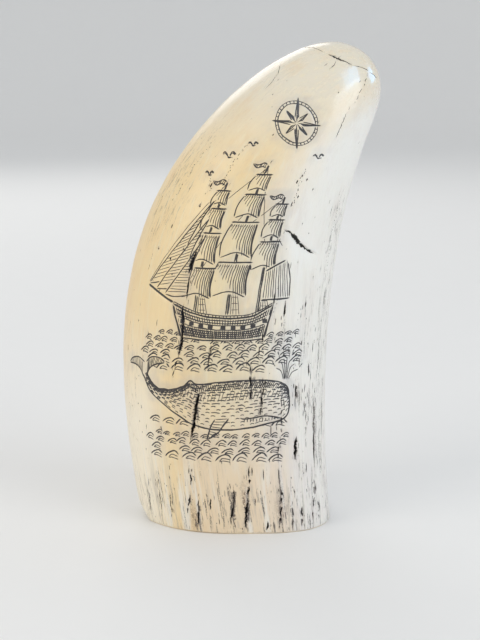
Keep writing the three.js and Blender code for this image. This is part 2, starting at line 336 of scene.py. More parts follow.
# Name, place, size, power in watts, colour, and whether it only makes a gloss.
LAMPS = (
    ("warm_key", (-0.90, -0.60, 0.55), 0.7, 3.6, (1.0, 0.94, 0.86), False),
    ("cool_fill", (0.90, -0.62, 0.50), 0.7, 3.8, (0.94, 0.97, 1.0), False),
    ("back_fill", (-0.30, 1.00, 0.70), 0.7, 2.0, (1.0, 0.98, 0.95), False),
    ("sky_panel", (0.42, -0.22, 0.55), 0.26, 0.9, (0.16, 0.52, 1.0), True),
    ("rim_panel", (0.56, 0.20, 0.36), 0.20, 0.6, (0.16, 0.52, 1.0), True),
)
CAMERA_PLACE = (1.56 * MM, -450 * MM, 150 * MM)
CAMERA_PITCH = 90 - 10.93  # degrees; 90 is level
CAMERA_LENS = 81.2
CAMERA_SENSOR = 36.0


def mix(pair, share):
    return pair[0] + (pair[1] - pair[0]) * share


def powered(value, power):
    return np.sign(value) * np.abs(value) ** power


def smooth(low, high, value):
    """0 at low, 1 at high, eased between and flat beyond, whichever of the two is larger."""
    share = np.clip((value - low) / (high - low), 0.0, 1.0)
    return share * share * (3.0 - 2.0 * share)


# ------------------------------------------------------------------------------------- the settings
class ToothForm(bpy.types.PropertyGroup):
    """Sizes of the tooth and of its mesh."""

    half_width: bpy.props.FloatProperty(
        name="Half width", description="Half the width of an untapered section",
        default=34.5 * MM, min=0.005, unit="LENGTH")
    foot_narrowing: bpy.props.FloatProperty(
        name="Foot narrowing", description="Share of the half width lost at the sawn foot",
        default=0.114, min=0.0, max=0.5, subtype="FACTOR")
    tip_tilt: bpy.props.FloatProperty(
        name="Tip tilt", description="How far the last section leans over",
        default=0.546, subtype="ANGLE")
    foot_bevel: bpy.props.FloatProperty(
        name="Foot bevel", description="Worn edge of the saw cut",
        default=0.5 * MM, min=0.0, unit="LENGTH")
    front_step: bpy.props.FloatProperty(
        name="Front step", description="Distance between the skin's plain points on the front",
        default=1.5 * MM, min=0.0005, unit="LENGTH")
    back_step: bpy.props.FloatProperty(
        name="Back step", description="Distance between the skin's plain points on the back",
        default=2.2 * MM, min=0.0005, unit="LENGTH")


class ToothCuts(bpy.types.PropertyGroup):
    """Sizes of the engraved lines and of the marks that age has left."""

    line_width: bpy.props.FloatProperty(
        name="Line width", description="Width of a main engraved line",
        default=0.52 * MM, min=0.00005, unit="LENGTH")
    line_depth: bpy.props.FloatProperty(
        name="Line depth", description="Depth of a main engraved line",
        default=0.17 * MM, min=0.0, unit="LENGTH")
    hand_wobble: bpy.props.FloatProperty(
        name="Hand wobble", description="How far a line strays from its drawn path",
        default=0.05 * MM, min=0.0, unit="LENGTH")
    flecks: bpy.props.IntProperty(
        name="Flecks", description="Short open pores along the grain all over the tooth",
        default=860, min=0)
    seed: bpy.props.IntProperty(
        name="Seed", description="Start of the random order of pores and wobble", default=7)


class ToothFinish(bpy.types.PropertyGroup):
    """Colours of the ivory, the ink, the dirt in the splits, and the stage."""

    # The warm and the cool ivory are partly the tooth's own patina and partly painted light: warm light on
    # the -X side, cool light on the +X side.
    warm_ivory: bpy.props.FloatVectorProperty(
        name="Warm ivory", description="Aged side of the tooth",
        subtype="COLOR", size=3, default=(0.87, 0.68, 0.385), min=0, max=1)
    cool_ivory: bpy.props.FloatVectorProperty(
        name="Cool ivory", description="Bleached side of the tooth",
        subtype="COLOR", size=3, default=(0.86, 0.855, 0.815), min=0, max=1)
    ink: bpy.props.FloatVectorProperty(
        name="Ink", description="Lamp black rubbed into the lines",
        subtype="COLOR", size=3, default=(0.012, 0.013, 0.022), min=0, max=1)
    grime: bpy.props.FloatVectorProperty(
        name="Grime", description="Old dirt in the splits",
        subtype="COLOR", size=3, default=(0.010, 0.008, 0.007), min=0, max=1)
    stage_colour: bpy.props.FloatVectorProperty(
        name="Stage", description="Colour of the floor and backdrop",
        subtype="COLOR", size=3, default=(0.86, 0.855, 0.84), min=0, max=1)


# ------------------------------------------------------------------------------- the unrolled face
class ToothFace:
    """The tooth's smooth face and the flat sheet it unrolls to.

    A place on the sheet is (across, up) in millimetres. The sheet is cut open down the back, and
    comes to a point at the tip.
    """

    ROWS = 420
    COLUMNS = 361

    def __init__(self, form):
        self.half_width_full = form.half_width / MM
        self.foot_narrowing = form.foot_narrowing
        self.tip_tilt = form.tip_tilt
        self.bevel = form.foot_bevel / MM
        self.shares = np.sin(np.linspace(0, math.pi / 2, self.ROWS))
        angles = np.linspace(-math.pi, math.pi, self.COLUMNS)
        grid = self.point(self.shares[:, None], angles[None, :])
        front = self.COLUMNS // 2
        steps = np.linalg.norm(np.diff(grid[:, front], axis=0), axis=1)
        self.ups = np.concatenate(([0], np.cumsum(steps)))
        around = np.linalg.norm(np.diff(grid, axis=1), axis=2)
        right = np.cumsum(around[:, front:], axis=1)
        left = np.cumsum(around[:, :front][:, ::-1], axis=1)
        self.right_reach = right[:, -1]
        self.left_reach = left[:, -1]
        self.tip_up = self.ups[-1]
        # For each row, the angle at even shares of the way round to the back, on either side.
        self.even = np.linspace(0, 1, 241)
        self.turn = {1: self._even_turns(right), -1: self._even_turns(left)}

    def _even_turns(self, lengths):
        turns = np.linspace(0, math.pi, lengths.shape[1] + 1)
        table = np.empty((self.ROWS, len(self.even)))
        for row in range(self.ROWS):
            reach = max(lengths[row, -1], 1e-9)
            run = np.concatenate(([0], lengths[row])) / reach
            table[row] = np.interp(self.even, run, turns)
        table[-1] = table[-2]
        return table

    def middle(self, share):
        back = 1 - share
        weights = (back**3, 3 * back**2 * share, 3 * back * share**2, share**3)
        x = sum(weight * point[0] for weight, point in zip(weights, MIDDLE_LINE))
        z = sum(weight * point[1] for weight, point in zip(weights, MIDDLE_LINE))
        return x, z

    def half_width(self, share):
        taper = np.maximum(1 - share**TAPER_POWER, 0) ** TIP_POWER
        return self.half_width_full * taper * (1 - self.foot_narrowing * (1 - share) ** 3)

    def point(self, share, angle, inset=0.0):
        """The face at a share of the middle line's run and an angle from the front, in mm."""
        x, z = self.middle(share)
        width = self.half_width(share) - inset
        depth = self.half_width(share) * mix(DEPTH_TO_WIDTH, share) - inset
        lean_power = mix(LEAN_SIDE_SQUARENESS, np.minimum(share / SQUARENESS_GONE, 1))
        power = np.where(np.sin(angle) > 0, lean_power, mix(OUTER_SIDE_SQUARENESS, share))
        across = width * powered(np.sin(angle), 2 / power)
        tilt = self.tip_tilt * share**TIP_TILT_POWER
        y = -depth * powered(np.cos(angle), 2 / power)
        return np.stack(np.broadcast_arrays(
            x + across * np.cos(tilt), y, z - across * np.sin(tilt)), axis=-1)

    def normal(self, share, angle):
        step = 1e-3
        around = self.point(share, angle + step) - self.point(share, angle - step)
        higher = self.point(np.minimum(share + step, 1), angle)
        lower = self.point(np.maximum(share - step, 0), angle)
        normals = np.cross(around, higher - lower)
        lengths = np.linalg.norm(normals, axis=-1, keepdims=True)
        tip = np.array((math.sin(self.tip_tilt), 0.0, math.cos(self.tip_tilt)))
        return np.where(lengths > 1e-7, normals / np.maximum(lengths, 1e-12), tip)

    def reach(self, up, side):
        """How far across the sheet goes at a height, on the +X (1) or -X (-1) side."""
        return np.interp(up, self.ups, self.right_reach if side > 0 else self.left_reach)

    def locate(self, across, up):
        """Share of the run and angle of places on the sheet."""
        across = np.asarray(across, float)
        row = np.interp(up, self.ups, np.arange(self.ROWS))
        low = np.clip(row.astype(int), 0, self.ROWS - 2)
        blend = row - low
        share = self.shares[low] * (1 - blend) + self.shares[low + 1] * blend
        angle = np.zeros_like(across)
        for side in (1, -1):
            there = (across * side) > 0
            reach = np.maximum(self.reach(up, side), 1e-9)
            place = np.clip(np.abs(across) / reach, 0, 1) * (len(self.even) - 1)
            column = np.clip(place.astype(int), 0, len(self.even) - 2)
            part = place - column
            table = self.turn[side]
            lower = table[low, column] * (1 - part) + table[low, column + 1] * part
            upper = table[low + 1, column] * (1 - part) + table[low + 1, column + 1] * part
            turned = side * (lower * (1 - blend) + upper * blend)
            angle = np.where(there, turned, angle)
        return share, angle


# --------------------------------------------------------------------------------- lines on the face
class Line:
    """A cut along a path on the sheet: half widths on its two sides, depth and tone at each place."""

    def __init__(self, points, left, right, depth, tone, kind):
        self.points = points
        self.left = left
        self.right = right
        self.depth = depth
        self.tone = tone
        self.kind = kind


def thinned(points, tolerance, longest):
    """The places a path needs to keep its shape, with none further apart than longest."""
    keep = {0, len(points) - 1}
    stack = [(0, len(points) - 1)]
    while stack:
        first, last = stack.pop()
        if last - first < 2:
            continue
        chord = points[last] - points[first]
        length = max(np.hypot(*chord), 1e-9)
        offsets = points[first + 1:last] - points[first]
        away = np.abs(offsets[:, 0] * chord[1] - offsets[:, 1] * chord[0]) / length
        worst = int(away.argmax())
        if away[worst] > tolerance or length > longest:
            middle = first + 1 + (worst if away[worst] > tolerance else (last - first) // 2 - 1)
            middle = min(max(middle, first + 1), last - 1)
            keep.add(middle)
            stack += [(first, middle), (middle, last)]
    return sorted(keep)


def evenly(points, step):
    """A path resampled at even steps along its length."""
    points = np.asarray(points, float)
    runs = np.concatenate(([0], np.cumsum(np.hypot(*np.diff(points, axis=0).T))))
    count = max(int(math.ceil(runs[-1] / step)) + 1, 3)
    at = np.linspace(0, runs[-1], count)
    return np.stack((np.interp(at, runs, points[:, 0]), np.interp(at, runs, points[:, 1])), axis=1)


def flowing(places, step=PATH_STEP):
    """A smooth curve through places."""
    places = np.asarray(places, float)
    if len(places) < 3:
        return evenly(places, step)
    ends = np.vstack((2 * places[0] - places[1], places, 2 * places[-1] - places[-2]))
    share = np.linspace(0, 1, 9)[:-1, None]
    parts = []
    for before, start, end, after in zip(ends, ends[1:], ends[2:], ends[3:]):
        parts.append(0.5 * (
            2 * start + (end - before) * share
            + (2 * before - 5 * start + 4 * end - after) * share**2
            + (3 * start - before - 3 * end + after) * share**3))
    parts.append(places[-1:])
    return evenly(np.vstack(parts), step)


def inside(polygon, points):
    """Which points lie inside a closed outline."""
    x, y = points[:, 0], points[:, 1]
    within = np.zeros(len(points), bool)
    before = polygon[-1]
    for corner in polygon:
        crosses = (corner[1] > y) != (before[1] > y)
        slope = (before[0] - corner[0]) / ((before[1] - corner[1]) or 1e-9)
        within ^= crosses & (x < corner[0] + (y - corner[1]) * slope)
        before = corner
    return within


class Graver:
    """Cuts lines on the sheet. What is drawn first hides what is drawn later behind it."""

    def __init__(self, cuts):
        self.width = cuts.line_width / MM
        self.depth = cuts.line_depth / MM
        self.wobble = cuts.hand_wobble / MM
        self.random = random.Random(cuts.seed)
        self.lines = []
        self.covers = []

    def hide_behind(self, outline):
        """Keeps later lines out of an outline."""
        self.covers.append(np.asarray(outline, float))

    def visible_runs(self, path):
        """The stretches of a path that nothing drawn earlier hides."""
        seen = np.ones(len(path), bool)
        for cover in self.covers:
            low, high = cover.min(axis=0), cover.max(axis=0)
            near = ((path >= low) & (path <= high)).all(axis=1)
            if near.any():
                seen[near] &= ~inside(cover, path[near])
        runs = []
        start = None
        for place, is_seen in enumerate(seen):
            if is_seen and start is None:
                start = place
            if start is not None and (not is_seen or place == len(seen) - 1):
                stop = place + 1 if is_seen else place
                if stop - start > 2:
                    runs.append(path[start:stop])
                start = None
        return runs

    def cut(self, path, weight=1.0, tone=1.0, curved=True, taper=0.16):
        """Engraves a path. weight scales the line's width and depth, tone how well it holds ink."""
        path = flowing(path) if curved else evenly(path, PATH_STEP)
        phase = [self.random.uniform(0, 6.28) for _ in range(2)]
        along = np.arange(len(path)) * PATH_STEP
        path = path + self.wobble * np.stack(
            (np.sin(along * 1.1 + phase[0]), np.sin(along * 0.9 + phase[1])), axis=1)
        for run in self.visible_runs(path):
            self._add(run, weight, tone, taper)

    def _add(self, run, weight, tone, taper):
        """Keeps a run as a line with the hand's pressure in it, unless it is too short to show."""
        kept = run[thinned(run, PATH_TOLERANCE, LONGEST_PIECE)]
        if len(kept) < 3:
            kept = np.vstack((run[0], run[len(run) // 2], run[-1]))
        lengths = np.hypot(*np.diff(kept, axis=0).T)
        total = lengths.sum()
        if total < SHORTEST_LINE:
            return
        at = np.concatenate(([0], np.cumsum(lengths))) / total
        # The tool enters and leaves along a short ramp, which needs a place of its own.
        ramp = min(taper, LONGEST_RAMP / total)
        for share in (ramp, 1 - ramp):
            if np.abs(at - share).min() > 0.4 * ramp:
                spot = int(np.searchsorted(at, share))
                extra = (np.interp(share, at, kept[:, 0]), np.interp(share, at, kept[:, 1]))
                kept = np.insert(kept, spot, extra, axis=0)
                at = np.insert(at, spot, share)
        count = len(kept)
        pressure = np.array([self.random.uniform(*PRESSURE) for _ in range(count)])
        ends = np.minimum(1, np.minimum(at, 1 - at) / ramp)
        half = 0.5 * self.width * weight * pressure * np.maximum(ends, 0.02)
        depth = self.depth * weight * pressure * ends
        self.lines.append(Line(kept, half, half, depth, tone * ends**0.5, "ink"))

    def shade(self, first, second, count, start=0.0, stop=1.0, **how):
        """Hatching: lines from one path to another, at even shares of the two."""
        first, second = flowing(first, 0.25), flowing(second, 0.25)
        for number in range(count):
            share = start + (stop - start) * (number + 0.5) / count
            ends = [side[int(round(share * (len(side) - 1)))] for side in (first, second)]
            self.cut(ends, curved=False, **how)


# ----------------------------------------------------------------------------- the engraved pictures
def placed(places, origin, size=1.0):
    return [(origin[0] + x * size, origin[1] + y * size) for x, y in places]


def upright(places, origin, size=1.0):
    """Places drawn level and upright, where the sheet's own grid leans over with the tooth."""
    return [(origin[0] + size * (x - y * math.tan(UPPER_LEAN)), origin[1] + size * y / math.cos(UPPER_LEAN))
            for x, y in places]


def between(low, high, share):
    """The path that lies a share of the way from one path to another."""
    low, high = flowing(low, 0.5), flowing(high, 0.5)
    at = np.linspace(0, 1, 40)
    picked = [side[np.round(at * (len(side) - 1)).astype(int)] for side in (low, high)]
    return picked[0] * (1 - share) + picked[1] * share


def engrave_square_sail(graver, foot, head, mast, foot_half, head_half, belly):
    """A square sail that swells to the left, shaded by long strokes down its lee side."""
    left = [(mast - head_half, head), (mast - (foot_half + head_half) / 2 - belly, (foot + head) / 2),
            (mast - foot_half - 0.3 * belly, foot)]
    right = [(mast + head_half, head),
             (mast + (foot_half + head_half) / 2 - 0.55 * belly, (foot + head) / 2),
             (mast + foot_half - 0.3 * belly, foot)]
    arch = [left[-1], (mast - 0.3 * belly, foot + 0.13 * (head - foot) + 0.4), right[-1]]
    left, right, arch = (np.array(path) for path in (left, right, arch))
    left_side, right_side, foot_line = flowing(left), flowing(right), flowing(arch)
    head_line = np.array([left[0], right[0]])
    graver.cut(left, weight=1.05)
    graver.cut(right, weight=1.05)
    graver.cut(arch)
    graver.cut([(mast - head_half - 0.7, head + 0.1), (mast + head_half + 0.7, head + 0.1)],
               weight=1.35, curved=False)
    strokes = max(int(2 * head_half / 0.62), 6)
    for number in range(1, strokes):
        share = 1 - (1 - number / strokes) ** 1.35
        stroke = between(left, right, share)
        reach = 1.0 if share > 0.62 else 0.16 + 1.25 * share * graver.random.uniform(0.8, 1.1)
        points = stroke[: min(max(int(len(stroke) * reach) - 1, 4), len(stroke) - 1)]
        graver.cut(points[1:], weight=0.5 + 0.35 * share, tone=0.85 + 0.15 * share)
    # Short strokes under the yard, where the sail hangs in folds.
    for number in range(strokes):
        share = (number + 0.5) / strokes
        graver.cut(between(left, right, share)[1:6], weight=0.6, curved=False)
    return np.vstack((left_side, foot_line, right_side[::-1], head_line[::-1]))


def on_ship(*places):
    return placed(places, SHIP_PLACE)


def engrave_ship(graver):
    """A three-masted ship running to the left under full sail, its nearest parts first."""
    engrave_hull(graver)
    engrave_headsails(graver)
    engrave_gaff_sail(graver)
    engrave_masts(graver)
    for start, end in STAYS:
        graver.cut(on_ship(start, end), weight=0.6, tone=0.8, curved=False)


def engrave_hull(graver):
    """The ship's side, with its planks and gun ports."""
    sheer = on_ship((-17.0, 10.2), (-9, 7.3), (0, 6.3), (8, 7.0), (14.0, 10.4))
    keel = on_ship((-13.2, 0), (-6, -0.5), (0, -0.6), (7, -0.5), (12.2, 0))
    stem = on_ship((-17.0, 10.2), (-15.2, 5.2), (-13.2, 0))
    stern = on_ship((14.0, 10.4), (13.1, 5), (12.2, 0))
    for path, weight in ((sheer, 1.5), (stem, 1.4), (stern, 1.4), (keel, 1.2)):
        graver.cut(path, weight=weight)
    rail = [(x, y + 0.75) for x, y in sheer]
    graver.cut(rail, weight=0.9)
    graver.shade(sheer, rail, 30, weight=0.7)
    for share in (0.12, 0.24, 0.33, 0.53, 0.62, 0.71, 0.8, 0.89):
        graver.cut(between(sheer, keel, share)[1:-1], weight=0.95)
    graver.shade(between(sheer, keel, 0.53), between(sheer, keel, 0.97), 46, weight=1.0)
    graver.shade(between(sheer, keel, 0.04), between(sheer, keel, 0.32), 40, weight=0.75)
    ports = between(sheer, keel, 0.43)
    for number in range(9):
        x, y = ports[int(3 + number * 34 / 8)]
        for side in (-0.45, -0.1, 0.25, 0.6):
            graver.cut([(x + side, y + 0.6), (x + side, y - 0.6)], weight=1.3, curved=False)
    graver.hide_behind(np.vstack((flowing(sheer), flowing(stern), flowing(keel)[::-1], flowing(stem)[::-1])))


def engrave_headsails(graver):
    """Three-cornered sails between the foremast and the bowsprit."""
    for top, tack, clew in HEADSAILS:
        luff = on_ship(top, ((top[0] + tack[0]) / 2 + 0.5, (top[1] + tack[1]) / 2), tack)
        leech = on_ship(top, ((top[0] + clew[0]) / 2 - 0.9, (top[1] + clew[1]) / 2), clew)
        foot = on_ship(tack, ((tack[0] + clew[0]) / 2, (tack[1] + clew[1]) / 2 - 0.6), clew)
        for path in (luff, leech, foot):
            graver.cut(path)
        graver.shade(luff, leech, 17, start=0.15, stop=0.97, weight=0.62, tone=0.85)
        graver.hide_behind(np.vstack((flowing(luff), flowing(foot), flowing(leech)[::-1])))
    graver.cut(on_ship((-16.6, 10.4), (-27.4, 15.4)), weight=1.9, curved=False)


def engrave_gaff_sail(graver):
    """The four-cornered sail over the stern."""
    gaff, boom = on_ship((9.6, 20.5), (16.4, 24.6)), on_ship((9.6, 11.8), (19.2, 12.2))
    graver.cut(gaff, weight=1.4, curved=False)
    graver.cut(boom, weight=1.4, curved=False)
    leech = ((16.0, 24.2), (18.0, 18.0), (18.6, 12.3))
    graver.cut(on_ship(*leech))
    graver.shade(gaff, boom, 11, start=0.05, stop=0.95, weight=0.65)
    graver.hide_behind(on_ship((9.6, 20.5), *leech, (9.6, 11.8)))


def engrave_masts(graver):
    """The masts with their square sails and shrouds."""
    x0, y0 = SHIP_PLACE
    for mast, top, half, lowest_tier in MASTS:
        for low, high, foot_size, head_size in SAIL_TIERS[lowest_tier:]:
            foot, head = (y0 + LOWEST_SAIL + share * (top - LOWEST_SAIL) for share in (low, high))
            graver.hide_behind(engrave_square_sail(
                graver, foot, head, x0 + mast, half * foot_size, half * head_size, 1.3 * foot_size))
        engrave_mast(graver, x0 + mast, y0 + DECK, y0 + top)
        engrave_shrouds(graver, x0 + mast, y0, top)


def engrave_mast(graver, x, low, high):
    for side, weight in ((-0.28, 1.0), (0.28, 1.25)):
        graver.cut([(x + side, low), (x + side * 0.4, high)], weight=weight, curved=False)
    pennant = [(x, high), (x - 1.6, high + 0.7), (x - 3.2, high - 0.1), (x - 5.0, high + 0.4)]
    lower = [(x, high - 1.3), (x - 1.6, high - 0.5), (x - 3.2, high - 1.0), (x - 5.0, high + 0.4)]
    graver.cut(pennant)
    graver.cut(lower)
    graver.shade(pennant, lower, 7, stop=0.8, weight=0.7)


def engrave_shrouds(graver, x, keel, top):
    """Ropes from the mast down to the ship's side, with their rungs."""
    high = keel + LOWEST_SAIL + 0.35 * (top - LOWEST_SAIL)
    low = keel + DECK
    feet = [x + 1.0 + 0.95 * number for number in range(4)]
    for foot in feet:
        graver.cut([(x + 0.3, high), (foot, low)], weight=0.6, curved=False)
    rungs = 9
    for number in range(1, rungs):
        share = number / rungs
        graver.cut([(x + 0.3 + (end - x - 0.3) * share, high + (low - high) * share)
                    for end in (feet[0], feet[-1])], weight=0.5, curved=False)


def engrave_whale(graver):
    """A sperm whale at the surface, heading right, its flukes lifted."""
    def at(*places):
        return placed(places, WHALE_PLACE)

    back = at((23.4, 2.6), (22.4, 6.4), (18.0, 8.3), (10.0, 8.6), (2.0, 8.0), (-5.0, 7.2), (-7.2, 8.2),
              (-9.4, 6.4), (-12.4, 5.2), (-16.5, 4.6), (-20.0, 5.8), (-22.8, 9.4))
    belly = at((23.4, 2.6), (23.2, -1.0), (21.4, -3.8), (16.0, -5.2), (9.0, -6.6), (1.0, -7.0),
               (-6.0, -5.8), (-12.0, -2.6), (-17.0, 0.6), (-21.4, 3.8), (-24.4, 8.8))
    near_lobe = at((-23.0, 7.4), (-21.8, 10.4), (-19.0, 12.4), (-15.4, 13.2), (-17.6, 14.6),
                   (-20.8, 14.4), (-23.2, 12.4))
    far_lobe = at((-23.9, 7.4), (-25.6, 10.0), (-28.2, 11.2), (-31.6, 11.0), (-29.6, 13.0),
                  (-26.4, 13.6), (-23.4, 12.3))
    for path in (back, belly):
        graver.cut(path, weight=1.35)
    for lobe, count in ((near_lobe, 13), (far_lobe, 11)):
        graver.cut(lobe[:4], weight=1.2)
        graver.cut(lobe[3:], weight=1.2)
        graver.shade(lobe[:4], lobe[:2:-1], count, start=0.12, stop=0.93, weight=0.65)
    jaw = at((21.4, -3.8), (15.5, -2.7), (9.5, -3.6), (7.4, -3.0))
    graver.cut(jaw, weight=1.2)
    for number in range(12):
        x = 19.6 - number * 0.95
        graver.cut(at((x, -3.1 - 0.04 * number), (x - 0.1, -3.9 - 0.07 * number)),
                   weight=0.7, curved=False)
    eye = [(8.3 + 0.55 * math.cos(a), -0.5 + 0.4 * math.sin(a)) for a in np.linspace(0, 6.0, 9)]
    graver.cut(placed(eye, WHALE_PLACE), weight=1.0)
    graver.cut(at((7.0, 0.5), (8.4, 0.95), (9.8, 0.3)), weight=0.9)
    fin = at((4.4, -3.0), (1.4, -7.4), (-2.2, -10.0), (-1.4, -6.6), (0.4, -3.4))
    graver.cut(fin, weight=1.2)
    graver.shade(fin[:3], [fin[4], fin[3], fin[2]], 8, stop=0.95, weight=0.75)
    graver.hide_behind(np.vstack((flowing(fin), fin[0])))
    shade_whale(graver, back, belly)
    graver.hide_behind(np.vstack((flowing(back), flowing(belly)[::-1])))
    for lobe in (near_lobe, far_lobe):
        graver.hide_behind(flowing(lobe))
    engrave_blow(graver)


def shade_whale(graver, back, belly):
    """Rows of short strokes along the body, long and close on the back and short on the belly."""
    rows = 17
    for row in range(1, rows):
        share = (row / rows) ** 1.25
        path = between(back, belly, share)
        step = 0.06 - 0.012 * share
        start = 0.012 + (row % 2) * step / 2
        while start < 0.975:
            length = step * graver.random.uniform(0.8, 1.0) * (1.0 - 0.5 * share)
            first = int(start * (len(path) - 1))
            last = max(int((start + length) * (len(path) - 1)), first + 1)
            if last < len(path):
                x, y = path[first]
                end_x, end_y = path[last]
                middle = ((x + end_x) / 2, (y + end_y) / 2 + 0.2)
                graver.cut([(x, y), middle, (end_x, end_y)], weight=1.1 - 0.45 * share)
            start += step
    # Fine cross strokes soften the shade into the side, and round the head and tail.
    ridge, flank, side = (between(back, belly, share) for share in (0.02, 0.2, 0.42))
    graver.shade(ridge, flank, 84, start=0.03, weight=0.7)
    graver.shade(flank, side, 44, start=0.05, weight=0.5, tone=0.85)


def engrave_blow(graver):
    """The blow, which rises from the front of the head and falls apart into drops."""
    x, y = WHALE_PLACE[0] + BLOWHOLE[0], WHALE_PLACE[1] + BLOWHOLE[1]
    for lean, height in BLOW:
        graver.cut([(x + 0.16 * lean, y + 0.5), (x + 0.45 * lean, y + 0.62 * height),
                    (x + lean, y + 0.82 * height)], weight=0.75)
        for drop in (0.92, 1.04):
            graver.cut([(x + lean * drop * 1.1, y + height * drop),
                        (x + lean * drop * 1.2, y + height * drop + 0.5)], weight=0.8, curved=False)


def engrave_sea(graver, low, high, rows, reach, crest, drift):
    """Rows of overlapping wave crests, each with strokes in its hollow."""
    for row in range(rows):
        share = row / max(rows - 1, 1)
        up = low + (high - low) * share
        size = crest * (1.25 - 0.55 * share)
        span = reach * (1 - 0.12 * abs(2 * share - 1))
        count = int(2 * span / size)
        for number in range(count):
            x = -span + (number + 0.5 * (row % 2)) * size + drift
            x += graver.random.uniform(-0.45, 0.45)
            y = up + graver.random.uniform(-0.25, 0.25)
            if graver.random.random() < 0.07:
                continue
            peak = size * graver.random.uniform(0.36, 0.5)
            graver.cut([(x - 0.5 * size, y), (x - 0.16 * size, y + 0.75 * peak),
                        (x + 0.2 * size, y + peak), (x + 0.46 * size, y + 0.4 * peak)],
                       weight=1.25 - 0.3 * share)
            for stroke in (0.5, 0.12):
                graver.cut([(x - 0.26 * size, y - 0.1), (x, y + stroke * peak),
                            (x + 0.4 * size, y + (stroke - 0.25) * peak)], weight=0.8)


def engrave_star(graver):
    """An eight-pointed compass star in a ring, one half of each point shaded."""
    def at(*places):
        return upright(places, STAR_PLACE, STAR_SIZE)

    for number in range(8):
        angle = math.pi / 2 + number * math.pi / 4
        reach = 1.0 if number % 2 == 0 else 0.62
        tip = (reach * math.cos(angle), reach * math.sin(angle))
        sides = [(0.2 * math.cos(angle + turn), 0.2 * math.sin(angle + turn))
                 for turn in (-0.39, 0.39)]
        for side in sides:
            graver.cut(at(side, tip), curved=False, weight=0.95)
        graver.cut(at((0, 0), tip), curved=False, weight=0.7)
        graver.shade(at((0, 0), tip), at(sides[0], tip), 9 if number % 2 == 0 else 6,
                     start=0.1, stop=0.92, weight=0.75)
    for ring, weight in zip(STAR_RINGS, (0.85, 0.7)):
        graver.cut(at(*((ring * math.cos(turn), ring * math.sin(turn))
                        for turn in np.linspace(0, 2 * math.pi, 33))), weight=weight)
    for number in range(32):
        angle = number * math.pi / 16
        graver.cut(at(*((ring * math.cos(angle), ring * math.sin(angle)) for ring in STAR_RINGS)),
                   curved=False, weight=0.7)


def engrave_gulls(graver):
    for x, y, size in GULLS:
        def at(*places):
            return upright(places, (x, y), size / 2)

        graver.cut(at((-1.0, 0.1), (-0.55, 0.5), (-0.1, 0.0)), weight=1.1)
        graver.cut(at((0.08, -0.02), (0.5, 0.56), (1.05, 0.22)), weight=1.1)
        graver.cut(at((-0.18, -0.05), (0.0, -0.16), (0.3, -0.1)), weight=1.2)
        graver.cut(at((-0.85, 0.08), (-0.5, 0.32), (-0.14, -0.08)), weight=0.6)
        graver.cut(at((0.14, -0.08), (0.5, 0.4), (0.92, 0.16)), weight=0.6)


